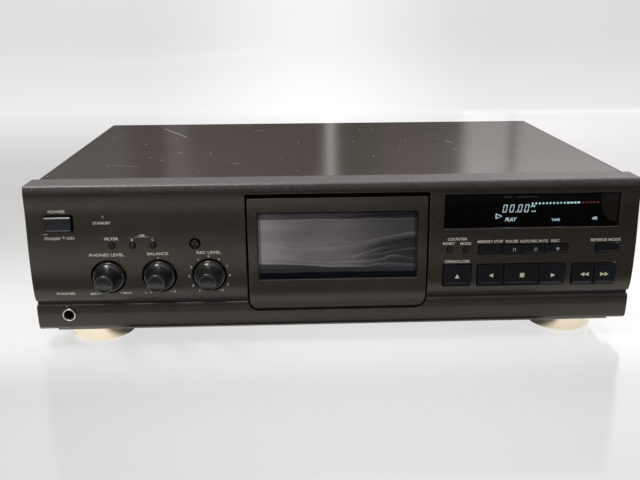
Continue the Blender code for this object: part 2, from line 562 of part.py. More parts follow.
# door damper: a toothed wheel that runs on the door's sector
gy = PIVOT[0] + GEAR_DISTANCE * math.cos(PINION_ANGLE)
gz = PIVOT[1] + GEAR_DISTANCE * math.sin(PINION_ANGLE)
pinion_turn = PINION_ANGLE + math.pi + math.pi / PINION_TEETH
pinion = prism("damper_gear", "YZ", [gear(PINION_TEETH, MODULE, None, pinion_turn, (gy, gz))],
               X + 50.8, X + 53.4, "white")
join(pinion, rod("damper_gear_shaft", 1.2, X + 53.0, X + 57.0, "X", (gy, gz), sides=12))
origin_at(pinion, X + 52.0, gy, gz)
damper = rod("door_damper", 8.0, X + 53.9, X + 60.0, "X", (gy, gz), "black", 20)
cut(damper, rod("damper_bore", 1.5, X + 50.0, X + 57.6, "X", (gy, gz), sides=12))

# ------------------------------------------------------------------ tape mechanism
plate_outline = [(X - 60.0, 5.0), (X + 49.4, 5.0), (X + 49.4, 100.0), (X - 60.0, 100.0)]
plate = prism("mechanism_plate", "XZ", [plate_outline], 26.0, 27.5, "zinc")
join(plate, islands("capstan_bosses", [("rod", 3.2, 23.4, 31.0, "Y", (X + s * CAPSTAN_DX, CAPSTAN_Z), 16)
                                       for s in (-1, 1)]))
join(plate, islands("hub_pins", [("rod", 1.2, 14.5, 26.6, "Y", (X + s * HUB_DX, HUB_Z), 10) for s in (-1, 1)]))
join(plate, islands("plate_legs", [("block", X - 58.0, X - 46.0, 26.4, 42.0, -0.5, 6.6),
                                   ("block", X + 36.0, X + 48.0, 26.4, 42.0, -0.5, 6.6)]))
cut(plate, islands("capstan_bores", [("rod", 1.5, 20.0, 35.0, "Y", (X + s * CAPSTAN_DX, CAPSTAN_Z), 12)
                                     for s in (-1, 1)]))

for name, s in (("flywheel_left", -1), ("flywheel_right", 1)):
    front_tip = 9.7
    profile = [(0.0, 0.0), (CAPSTAN_R, 0.0), (CAPSTAN_R, 36.5), (5.0, 36.5), (5.0, 40.6), (FLYWHEEL_R, 40.6),
               (FLYWHEEL_R, 48.0), (0.0, 48.0)]
    round_off(turned(name, [(a, -b) for a, b in profile], "Y", (X + s * CAPSTAN_DX, front_tip, CAPSTAN_Z),
                     "steel", steps=26))

motor = rod("capstan_motor", 16.0, 28.1, 49.6, "Y", (X + PULLEY_DX, PULLEY_Z), "zinc", 24)
cut(motor, rod("motor_bore", 1.5, 45.0, 55.0, "Y", (X + PULLEY_DX, PULLEY_Z), sides=12))
profile = [(0.0, 0.0), (1.2, 0.0), (1.2, 4.4), (6.6, 4.4), (PULLEY_R, 5.4), (PULLEY_R, 10.4), (6.6, 11.4), (0.0, 11.4)]
round_off(turned("motor_pulley", [(a, -b) for a, b in profile], "Y", (X + PULLEY_DX, 46.0, PULLEY_Z), "white", steps=18))


def belt_path(wheels, steps=12):
    """Closed path of a belt round wheels (x, z, r). A negative r is a wheel that the belt passes outside."""
    n = len(wheels)
    ends = []
    for i in range(n):
        xa, za, ra = wheels[i]
        xb, zb, rb = wheels[(i + 1) % n]
        dx, dz = xb - xa, zb - za
        dist = math.hypot(dx, dz)
        a = math.atan2(dz, dx) - math.acos((ra - rb) / dist)
        ends.append(((xa + ra * math.cos(a), za + ra * math.sin(a)), (xb + rb * math.cos(a), zb + rb * math.sin(a))))
    points = []
    for i in range(n):
        x, z, r = wheels[i]
        arrive, leave = ends[i - 1][1], ends[i][0]
        a0, a1 = math.atan2(arrive[1] - z, arrive[0] - x), math.atan2(leave[1] - z, leave[0] - x)
        sweep = (a1 - a0) % (2 * math.pi) if r > 0 else -((a0 - a1) % (2 * math.pi))
        for k in range(steps + 1):
            a = a0 + sweep * k / steps
            points.append((x + abs(r) * math.cos(a), z + abs(r) * math.sin(a)))
    return points


gap, thick = 0.3, 0.8
inner_wheels = [(X + PULLEY_DX, PULLEY_Z, PULLEY_R + gap), (X - CAPSTAN_DX, CAPSTAN_Z, FLYWHEEL_R + gap),
                (X + CAPSTAN_DX, CAPSTAN_Z, -(FLYWHEEL_R + gap + thick))]
outer_wheels = [(X + PULLEY_DX, PULLEY_Z, PULLEY_R + gap + thick), (X - CAPSTAN_DX, CAPSTAN_Z, FLYWHEEL_R + gap + thick),
                (X + CAPSTAN_DX, CAPSTAN_Z, -(FLYWHEEL_R + gap))]
prism("drive_belt", "XZ", [belt_path(outer_wheels), belt_path(inner_wheels)], 52.2, 55.4, "rubber")

for name, s in (("reel_hub_left", -1), ("reel_hub_right", 1)):
    hx = X + s * HUB_DX
    profile = [(0.0, 0.0), (2.2, 0.3), (4.1, 3.0), (4.1, 11.0), (6.2, 11.4), (6.2, 13.0), (10.5, 13.4), (10.5, 15.9),
               (1.6, 15.9), (1.6, 4.2), (0.0, 4.2)]
    hub = turned(name, [(a, -b) for a, b in profile], "Y", (hx, 9.5, HUB_Z), "white", steps=14)
    fins = []
    for k in range(3):
        a = math.radians(90 + 120 * k)
        ux, uz = math.cos(a), math.sin(a)
        fins.append([(hx + ux * 3.0 - uz * 0.7, HUB_Z + uz * 3.0 + ux * 0.7),
                     (hx + ux * 3.0 + uz * 0.7, HUB_Z + uz * 3.0 - ux * 0.7),
                     (hx + ux * 4.9 + uz * 0.6, HUB_Z + uz * 4.9 - ux * 0.6),
                     (hx + ux * 4.9 - uz * 0.6, HUB_Z + uz * 4.9 + ux * 0.6)])
    join(hub, prism(name + "_fins", "XZ", fins, 13.4, 20.8))

# head carriage: sliding base with a rear wall, roller pins and the head's pivot
carriage = block("head_carriage", X - 37.4, X + 37.4, 6.6, 23.0, 8.0, 9.6, "zinc")
join(carriage, block("carriage_wall", X - 37.0, X + 37.0, 20.0, 21.4, 8.4, 24.0))
join(carriage, islands("roller_pins", [("rod", 1.0, 8.4, 20.6, "Y", (X + s * CAPSTAN_DX, ROLLER_Z), 10)
                                       for s in (-1, 1)]))
join(carriage, rod("head_boss", 4.2, 9.0, 11.6, "Z", (X, HEAD_Y), sides=16))
join(carriage, rod("head_pin", 1.3, 10.0, 14.6, "Z", (X, HEAD_Y), sides=10))
head = softened(block("tape_head", X - 4.8, X + 4.8, HEAD_Y - 3.3, HEAD_Y + 3.3, 12.0, 24.4, "nickel"), 0.6)
cut(head, rod("head_bore", 1.6, 8.0, 15.2, "Z", (X, HEAD_Y), sides=12))
for name, s in (("pinch_roller_left", -1), ("pinch_roller_right", 1)):
    profile = [(ROLLER_R - 0.6, 0.0), (ROLLER_R, 0.6), (ROLLER_R, 6.0), (ROLLER_R - 0.6, 6.6), (1.3, 6.6), (1.3, 0.0),
               (ROLLER_R - 0.6, 0.0)]
    round_off(turned(name, [(a, -b) for a, b in profile], "Y", (X + s * CAPSTAN_DX, 9.2, ROLLER_Z), "rubber", steps=16))
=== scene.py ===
"""Cassette deck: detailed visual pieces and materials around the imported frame.

The numbers below are in millimetres in the front panel's own frame: x from the panel's centre,
y from the panel's upper front edge towards the back, z from the panel's bottom edge.
"""
import math

import bmesh
import bpy
from mathutils import Matrix, Vector
from mathutils.geometry import delaunay_2d_cdt


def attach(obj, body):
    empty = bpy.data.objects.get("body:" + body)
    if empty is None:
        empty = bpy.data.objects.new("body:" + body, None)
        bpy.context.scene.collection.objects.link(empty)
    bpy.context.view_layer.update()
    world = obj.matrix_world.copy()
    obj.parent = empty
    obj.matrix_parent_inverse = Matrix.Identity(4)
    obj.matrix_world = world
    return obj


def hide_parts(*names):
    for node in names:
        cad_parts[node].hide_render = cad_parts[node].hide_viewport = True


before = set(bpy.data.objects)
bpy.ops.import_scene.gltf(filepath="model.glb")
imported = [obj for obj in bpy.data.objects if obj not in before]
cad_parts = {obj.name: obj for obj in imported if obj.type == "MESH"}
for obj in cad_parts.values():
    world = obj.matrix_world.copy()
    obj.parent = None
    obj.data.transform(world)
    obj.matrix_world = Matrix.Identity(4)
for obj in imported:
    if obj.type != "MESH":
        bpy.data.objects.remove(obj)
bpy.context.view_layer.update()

MM = 0.001
Y_SHIFT, Z_SHIFT = -124.5, 16.0
PANEL_H = 105.5
DECK = bpy.data.collections.new("deck_looks")
bpy.context.scene.collection.children.link(DECK)


def place(x, y, z):
    return Vector((x * MM, (y + Y_SHIFT) * MM, (z + Z_SHIFT) * MM))


# ================================================================== materials
def node(tree, kind, **inputs):
    n = tree.nodes.new(kind)
    for key, value in inputs.items():
        if key in n.inputs:
            n.inputs[key].default_value = value
        else:
            setattr(n, key, value)
    return n


def noise(tree, coords, scale, detail=3.0, rough=0.55, stretch=None, distortion=0.0):
    if stretch:
        m = node(tree, "ShaderNodeMapping")
        m.inputs["Scale"].default_value = stretch[:3]
        if len(stretch) > 3:
            m.inputs["Rotation"].default_value = stretch[3]
        tree.links.new(coords, m.inputs["Vector"])
        coords = m.outputs["Vector"]
    n = node(tree, "ShaderNodeTexNoise")
    n.inputs["Scale"].default_value = scale
    n.inputs["Detail"].default_value = detail
    n.inputs["Roughness"].default_value = rough
    n.inputs["Distortion"].default_value = distortion
    tree.links.new(coords, n.inputs["Vector"])
    return n.outputs["Fac"]


def span(tree, value, a, b, lo, hi, smooth=False):
    m = node(tree, "ShaderNodeMapRange")
    m.interpolation_type = "SMOOTHSTEP" if smooth else "LINEAR"
    for key, v in (("From Min", a), ("From Max", b), ("To Min", lo), ("To Max", hi)):
        m.inputs[key].default_value = v
    tree.links.new(value, m.inputs["Value"])
    return m.outputs["Result"]


def maths(tree, operation, a, b):
    m = node(tree, "ShaderNodeMath", operation=operation)
    for i, v in enumerate((a, b)):
        if isinstance(v, (int, float)):
            m.inputs[i].default_value = v
        else:
            tree.links.new(v, m.inputs[i])
    return m.outputs[0]


def blend_color(tree, factor, a, b):
    m = node(tree, "ShaderNodeMix", data_type="RGBA")
    tree.links.new(factor, m.inputs[0])
    for i, v in ((6, a), (7, b)):
        if isinstance(v, tuple):
            m.inputs[i].default_value = (*v[:3], 1.0)
        else:
            tree.links.new(v, m.inputs[i])
    return m.outputs[2]


def surface(name, color, rough, metallic=0.0, spec=0.5, ior=1.5, coat=0.0, coat_rough=0.1, alpha=1.0,
            tone=(7.0, 0.18), rough_var=(25.0, 0.06), grain=(1500.0, 0.02), peel=None, brushed=None,
            dust=0.0, dust_color=(0.42, 0.40, 0.38), scratches=0.0, smudges=0.0, emission=None, tint=None, aniso=0.0,
            lighter_top_and_edge_highlight=0.0, sheen_tint=None):
    """A procedural surface: base colour that drifts, roughness that drifts, grain or brushing as bump,
    and on top of them dust, fine scratches, hand smudges, a lighter lilac-grey on faces that look up and a painted
    highlight band under the top edge, where they are asked for."""
    mat = bpy.data.materials.new(name)
    mat.use_nodes = True
    tree = mat.node_tree
    bsdf = tree.nodes["Principled BSDF"]
    bsdf.inputs["Metallic"].default_value = metallic
    bsdf.inputs["IOR"].default_value = ior
    bsdf.inputs["Specular IOR Level"].default_value = spec
    bsdf.inputs["Coat Weight"].default_value = coat
    bsdf.inputs["Coat Roughness"].default_value = coat_rough
    bsdf.inputs["Alpha"].default_value = alpha
    bsdf.inputs["Anisotropic"].default_value = aniso
    if sheen_tint:
        bsdf.inputs["Specular Tint"].default_value = (*sheen_tint, 1.0)
    where = node(tree, "ShaderNodeTexCoord").outputs["Object"]
    drift = noise(tree, where, tone[0], 4.0, 0.6)
    lo = tuple(c * (1 - tone[1]) for c in color)
    hi = tuple(min(1.0, c * (1 + tone[1])) for c in (tint or color))
    base = blend_color(tree, span(tree, drift, 0.3, 0.7, 0.0, 1.0), lo, hi)
    wander = noise(tree, where, rough_var[0], 5.0, 0.65)
    roughness = span(tree, wander, 0.25, 0.75, max(0.02, rough - rough_var[1]), min(1.0, rough + rough_var[1]))
    bump_height = None
    if grain:
        bump_height = (noise(tree, where, grain[0], 2.0, 0.5), grain[1])
    if brushed:
        axis_scale, strength = brushed
        bump_height = (noise(tree, where, 1.0, 3.0, 0.7, stretch=axis_scale), strength)
    if smudges:
        s = span(tree, noise(tree, where, 38.0, 6.0, 0.7, distortion=1.2), 0.52, 0.72, 0.0, smudges, True)
        roughness = maths(tree, "ADD", roughness, s)
    if dust:
        specks = span(tree, noise(tree, where, 900.0, 1.5, 0.5), 0.70, 0.76, 0.0, 1.0, True)
        film = span(tree, noise(tree, where, 14.0, 5.0, 0.7), 0.40, 0.75, 0.05, 0.6)
        amount = maths(tree, "MULTIPLY", maths(tree, "ADD", maths(tree, "MULTIPLY", specks, 2.2), maths(tree, "MULTIPLY", film, 0.12)), dust)
        amount = maths(tree, "MINIMUM", amount, 0.85)
        base = blend_color(tree, amount, base, dust_color)
        roughness = maths(tree, "ADD", roughness, maths(tree, "MULTIPLY", amount, 0.35))
    # faces that look up are painted a lighter lilac-grey, mottled, and a band on the face just under the top edge,
    # facing a little upwards, is lightened too: a painted highlight
    if lighter_top_and_edge_highlight:
        facing = node(tree, "ShaderNodeSeparateXYZ")
        tree.links.new(node(tree, "ShaderNodeTexCoord").outputs["Normal"], facing.inputs[0])
        flat = span(tree, facing.outputs["Z"], 0.55, 0.98, 0.0, 1.0, True)
        height = node(tree, "ShaderNodeSeparateXYZ")
        tree.links.new(node(tree, "ShaderNodeTexCoord").outputs["Object"], height.inputs[0])
        # the band under the top edge: a painted highlight
        rim = maths(tree, "MULTIPLY", span(tree, facing.outputs["Z"], 0.06, 0.26, 0.0, 0.68, True),
                    span(tree, height.outputs["Z"], 0.1095, 0.1165, 0.0, 1.0, True))
        flat = maths(tree, "MAXIMUM", flat, rim)
        mottle = span(tree, noise(tree, where, 520.0, 3.0, 0.7), 0.40, 0.72, 0.35, 1.0)
        amount = maths(tree, "MULTIPLY", maths(tree, "MULTIPLY", flat, mottle), lighter_top_and_edge_highlight)
        base = blend_color(tree, amount, base, (0.205, 0.185, 0.205))
        roughness = maths(tree, "ADD", roughness, maths(tree, "MULTIPLY", flat, 0.16))
    if scratches:
        lines = None
        for turn, sx, sy in ((0.35, 9.0, 420.0), (1.25, 7.0, 380.0), (2.3, 12.0, 520.0)):
            n = noise(tree, where, 1.0, 0.0, 0.0, stretch=(sx, sy, sx, (0.0, 0.0, turn)))
            line = span(tree, maths(tree, "ABSOLUTE", maths(tree, "SUBTRACT", n, 0.5), 0.0), 0.0, 0.006, 1.0, 0.0)
            lines = line if lines is None else maths(tree, "MAXIMUM", lines, line)
        patch = span(tree, noise(tree, where, 22.0, 2.0, 0.5), 0.56, 0.66, 0.0, 1.0, True)
        mark = maths(tree, "MULTIPLY", maths(tree, "MULTIPLY", lines, patch), scratches)
        base = blend_color(tree, mark, base, tuple(min(1.0, c * 3 + 0.12) for c in color))
        roughness = maths(tree, "ADD", roughness, maths(tree, "MULTIPLY", mark, 0.2))
    tree.links.new(base, bsdf.inputs["Base Color"])
    tree.links.new(maths(tree, "MINIMUM", roughness, 1.0), bsdf.inputs["Roughness"])
    normal = None
    for height in (bump_height, (noise(tree, where, peel[0], 2.0, 0.5), peel[1]) if peel else None):
        if height:
            b = node(tree, "ShaderNodeBump")
            b.inputs["Strength"].default_value = height[1]
            b.inputs["Distance"].default_value = 0.0004
            tree.links.new(height[0], b.inputs["Height"])
            if normal:
                tree.links.new(normal, b.inputs["Normal"])
            normal = b.outputs["Normal"]
    if normal:
        tree.links.new(normal, bsdf.inputs["Normal"])
    if emission:
        bsdf.inputs["Emission Color"].default_value = (*emission[0], 1.0)
        bsdf.inputs["Emission Strength"].default_value = emission[1]
    mat.diffuse_color = (*color, alpha)
    return mat


PANEL = surface("panel_satin", (0.0150, 0.0112, 0.0085), 0.27, spec=0.5, tone=(5.0, 0.22), rough_var=(16.0, 0.04),
                grain=(1900.0, 0.04), dust=0.05, smudges=0.04, lighter_top_and_edge_highlight=0.52, sheen_tint=(1.0, 0.90, 0.80))
DOOR = surface("door_satin", (0.0160, 0.0122, 0.0092), 0.26, spec=0.5, tone=(6.0, 0.20), rough_var=(18.0, 0.04),
               grain=(1900.0, 0.04), dust=0.05, smudges=0.05, lighter_top_and_edge_highlight=0.2, sheen_tint=(1.0, 0.90, 0.81))
KEY = surface("key_satin", (0.0035, 0.0042, 0.0065), 0.33, spec=0.22, tone=(30.0, 0.2), rough_var=(60.0, 0.05),
              grain=(2200.0, 0.05), smudges=0.06, dust=0.02)
ROUND_KEY = surface("round_key_satin", (0.0070, 0.0066, 0.0064), 0.30, spec=0.35, tone=(40.0, 0.2), rough_var=(70.0, 0.05),
                    grain=(2200.0, 0.05), dust=0.03)
KNOB = surface("knob_gloss", (0.0075, 0.0072, 0.0070), 0.20, spec=0.55, coat=0.25, coat_rough=0.08, tone=(60.0, 0.2),
               rough_var=(90.0, 0.05), grain=(2500.0, 0.03), dust=0.06, smudges=0.06)
KNOB_FACE = surface("knob_face", (0.0080, 0.0076, 0.0074), 0.20, spec=0.5, tone=(60.0, 0.2), rough_var=(90.0, 0.05),
                    grain=(2500.0, 0.06), dust=0.06)
COVER = surface("cover_enamel", (0.0250, 0.0200, 0.0172), 0.125, spec=0.5, tone=(4.0, 0.18), rough_var=(9.0, 0.02),
                grain=(1200.0, 0.02), peel=(420.0, 0.03), dust=0.10, scratches=0.30, smudges=0.02)


def cover_wear(mat):
    """Specks of dust and a few long scratches on the sheet's top."""
    tree = mat.node_tree
    bsdf = tree.nodes["Principled BSDF"]
    where = node(tree, "ShaderNodeTexCoord").outputs["Object"]
    mask = None
    for cells, size, keep in (((83.0, 25.0, 1.0), 0.040, 0.66), ((140.0, 42.0, 1.0), 0.040, 0.80)):
        m = node(tree, "ShaderNodeMapping")
        m.inputs["Scale"].default_value = cells
        tree.links.new(where, m.inputs["Vector"])
        v = node(tree, "ShaderNodeTexVoronoi", voronoi_dimensions="2D")
        v.inputs["Scale"].default_value = 1.0
        tree.links.new(m.outputs["Vector"], v.inputs["Vector"])
        pick = node(tree, "ShaderNodeSeparateXYZ")
        tree.links.new(v.outputs["Color"], pick.inputs[0])
        chosen = span(tree, pick.outputs["X"], keep, keep + 0.25, 0.0, 1.0)
        spot = maths(tree, "MULTIPLY", span(tree, v.outputs["Distance"], size * 0.4, size, 1.0, 0.0, True), chosen)
        mask = spot if mask is None else maths(tree, "MAXIMUM", mask, spot)
    for ax, ay, bx, by, width, depth in ((-0.1562, 0.1133, -0.1251, 0.0585, 0.00075, 0.75), (-0.0668, 0.0889, -0.0579, 0.0950, 0.0012, 0.35),
                                         (-0.1740, -0.0565, -0.1437, -0.0655, 0.0009, 0.22), (0.1063, 0.0314, 0.1106, 0.0167, 0.0006, 0.55),
                                         (0.1006, 0.0387, 0.1016, 0.0346, 0.0006, 0.4), (0.1388, 0.0001, 0.1399, -0.0062, 0.0006, 0.4),
                                         (-0.0765, -0.0568, -0.0711, -0.0586, 0.0010, 0.45), (-0.1244, -0.0118, -0.1209, -0.0137, 0.0012, 0.5)):
        along = Vector((bx - ax, by - ay, 0.0))
        half = along.length / 2
        along = along / (2 * half)
        local = node(tree, "ShaderNodeVectorMath", operation="SUBTRACT")
        tree.links.new(where, local.inputs[0])
        local.inputs[1].default_value = ((ax + bx) / 2, (ay + by) / 2, 0.0)
        u = node(tree, "ShaderNodeVectorMath", operation="DOT_PRODUCT")
        v = node(tree, "ShaderNodeVectorMath", operation="DOT_PRODUCT")
        for n, axis in ((u, along), (v, Vector((-along.y, along.x, 0.0)))):
            tree.links.new(local.outputs[0], n.inputs[0])
            n.inputs[1].default_value = axis
        ends = span(tree, maths(tree, "ABSOLUTE", u.outputs["Value"], 0.0), half * 0.8, half, 1.0, 0.0, True)
        body = span(tree, maths(tree, "ABSOLUTE", v.outputs["Value"], 0.0), width * 0.3, width, depth, 0.0, True)
        mask = maths(tree, "MAXIMUM", mask, maths(tree, "MULTIPLY", ends, body))
    for socket, value, share in (("Base Color", (0.40, 0.37, 0.36), 0.80), ("Roughness", None, 0.5)):
        link = bsdf.inputs[socket].links[0]
        old = link.from_socket
        if value:
            tree.links.new(blend_color(tree, maths(tree, "MULTIPLY", mask, share), old, value), bsdf.inputs[socket])
        else:
            tree.links.new(maths(tree, "MINIMUM", maths(tree, "ADD", old, maths(tree, "MULTIPLY", mask, share)), 1.0), bsdf.inputs[socket])


cover_wear(COVER)
REAR = surface("rear_enamel", (0.026, 0.024, 0.023), 0.42, spec=0.5, tone=(5.0, 0.15), rough_var=(20.0, 0.05),
               grain=(1400.0, 0.06), dust=0.10, scratches=0.07)
CHASSIS = surface("chassis_zinc", (0.16, 0.16, 0.152), 0.42, metallic=0.85, tone=(40.0, 0.2), rough_var=(45.0, 0.1),
                  grain=(700.0, 0.05), dust=0.10, tint=(0.17, 0.16, 0.14))
ZINC = surface("zinc_plate", (0.52, 0.52, 0.50), 0.38, metallic=0.9, tone=(55.0, 0.16), rough_var=(45.0, 0.12),
               grain=(700.0, 0.05), dust=0.10, tint=(0.58, 0.55, 0.47))
STEEL = surface("turned_steel", (0.60, 0.60, 0.60), 0.26, metallic=1.0, tone=(80.0, 0.10), rough_var=(80.0, 0.08),
                grain=(1200.0, 0.05), dust=0.04)
NICKEL = surface("nickel_plate", (0.60, 0.57, 0.51), 0.26, metallic=1.0, tone=(120.0, 0.12), rough_var=(150.0, 0.08),
                 grain=(2500.0, 0.04), dust=0.05)
GOLD = surface("champagne_plate", (0.82, 0.72, 0.53), 0.17, metallic=0.9, tone=(9.0, 0.04), rough_var=(30.0, 0.04),
               grain=(2200.0, 0.015), dust=0.02, tint=(0.86, 0.77, 0.60))
FOOT_BLACK = surface("foot_plastic", (0.014, 0.013, 0.012), 0.5, tone=(40.0, 0.2), grain=(900.0, 0.12), dust=0.1)
FELT = surface("foot_felt", (0.035, 0.034, 0.033), 0.95, spec=0.2, tone=(200.0, 0.35), grain=(1800.0, 0.9), dust=0.2)
BLACK = surface("black_moulding", (0.011, 0.011, 0.012), 0.5, tone=(30.0, 0.25), rough_var=(40.0, 0.1),
                grain=(1100.0, 0.12), dust=0.10)
HOLDER = surface("holder_moulding", (0.0045, 0.0045, 0.005), 0.62, spec=0.12, tone=(30.0, 0.25), grain=(1100.0, 0.12), dust=0.02)
MECHANISM = surface("mechanism_black", (0.030, 0.030, 0.031), 0.5, metallic=0.4, spec=0.3, tone=(55.0, 0.2), rough_var=(45.0, 0.12),
                    grain=(700.0, 0.05), dust=0.05)
SCREW = surface("black_oxide", (0.020, 0.020, 0.021), 0.34, metallic=0.6, tone=(150.0, 0.3), rough_var=(200.0, 0.1),
                grain=(2500.0, 0.08), dust=0.06, scratches=0.3)
WHITE = surface("acetal", (0.66, 0.65, 0.61), 0.42, tone=(90.0, 0.08), grain=(1500.0, 0.05), dust=0.12)
RUBBER = surface("rubber", (0.018, 0.018, 0.018), 0.78, spec=0.3, tone=(120.0, 0.3), grain=(1600.0, 0.25), dust=0.15)
BOARD = surface("laminate", (0.22, 0.125, 0.05), 0.5, tone=(45.0, 0.2), rough_var=(60.0, 0.1), grain=(900.0, 0.15), dust=0.12)
LAMINATIONS = surface("iron_laminations", (0.25, 0.24, 0.23), 0.5, metallic=0.7, tone=(60.0, 0.2),
                      brushed=((6.0, 6.0, 1400.0), 0.5), dust=0.1)
TUBE = surface("tube_glass", (0.012, 0.016, 0.017), 0.08, spec=0.6, tone=(30.0, 0.3), grain=None, dust=0.04, coat=0.3)
LAMP = surface("lamp_lens", (0.035, 0.022, 0.018), 0.14, spec=0.5, tone=(200.0, 0.15), grain=(3000.0, 0.05), coat=0.5)
DISPLAY_GLASS = surface("display_smoke", (0.0016, 0.0012, 0.0011), 0.05, spec=0.10, alpha=0.80, tone=(20.0, 0.3),
                        rough_var=(30.0, 0.02), grain=None, dust=0.02)
# a pale arc behind the display glass that glows faintly, though no lamp is there: painted light
DISPLAY_GLOW = surface("display_arc_glow", (0.165, 0.140, 0.112), 0.5, tone=(30.0, 0.15), grain=(1500.0, 0.08), dust=0.05,
                emission=((1.0, 0.80, 0.66), 0.15))
LEGEND = surface("legend_ink", (0.62, 0.57, 0.48), 0.55, spec=0.3, tone=(400.0, 0.12), grain=(3000.0, 0.1))
SYMBOL = surface("symbol_ink", (0.62, 0.60, 0.44), 0.55, spec=0.3, tone=(400.0, 0.12), grain=(3000.0, 0.1))
SYMBOL_DIM = surface("symbol_ink_dim", (0.33, 0.33, 0.30), 0.55, spec=0.3, tone=(400.0, 0.12), grain=(3000.0, 0.1))
SILVER_STRIP = surface("silver_strip", (0.42, 0.405, 0.385), 0.35, metallic=0.35, tone=(150.0, 0.1), grain=(2500.0, 0.06))
BLUE_GREY_STRIP = surface("blue_edge", (0.060, 0.075, 0.105), 0.35, tone=(150.0, 0.1), grain=(2500.0, 0.06))
LIT_WHITE = surface("lit_white", (0.5, 0.6, 0.62), 0.5, tone=(300.0, 0.05), grain=None, emission=((0.66, 0.85, 0.95), 15.0))
LIT_CYAN = surface("lit_cyan", (0.4, 0.6, 0.62), 0.5, tone=(300.0, 0.05), grain=None, emission=((0.58, 0.92, 0.98), 17.0))
LIT_RED = surface("lit_red", (0.6, 0.1, 0.1), 0.5, tone=(300.0, 0.05), grain=None, emission=((1.0, 0.22, 0.26), 4.2))
LIT_DIM = surface("lit_dim", (0.3, 0.3, 0.3), 0.5, tone=(300.0, 0.05), grain=None, emission=((0.8, 0.75, 0.75), 1.6))
RCA_WHITE = surface("socket_white", (0.62, 0.61, 0.58), 0.4, tone=(120.0, 0.08), grain=(1500.0, 0.06), dust=0.15)
RCA_RED = surface("socket_red", (0.36, 0.018, 0.015), 0.4, tone=(120.0, 0.12), grain=(1500.0, 0.06), dust=0.12)


def curve(tree, x, points):
    """A value that follows a smooth curve through (x, value) points."""
    xs, vs = [p[0] for p in points], [p[1] for p in points]
    lo, hi = min(vs), max(vs)
    if hi - lo < 1e-9:
        hi = lo + 1e-3
    n = tree.nodes.new("ShaderNodeFloatCurve")
    line = n.mapping.curves[0]
    spots = [((px - xs[0]) / (xs[-1] - xs[0]), (v - lo) / (hi - lo)) for px, v in points]
    line.points[0].location, line.points[1].location = spots[0], spots[-1]
    for spot in spots[1:-1]:
        line.points.new(*spot)
    n.mapping.update()
    tree.links.new(span(tree, x, xs[0], xs[-1], 0.0, 1.0), n.inputs["Value"])
    return span(tree, n.outputs[0], 0.0, 1.0, lo, hi)


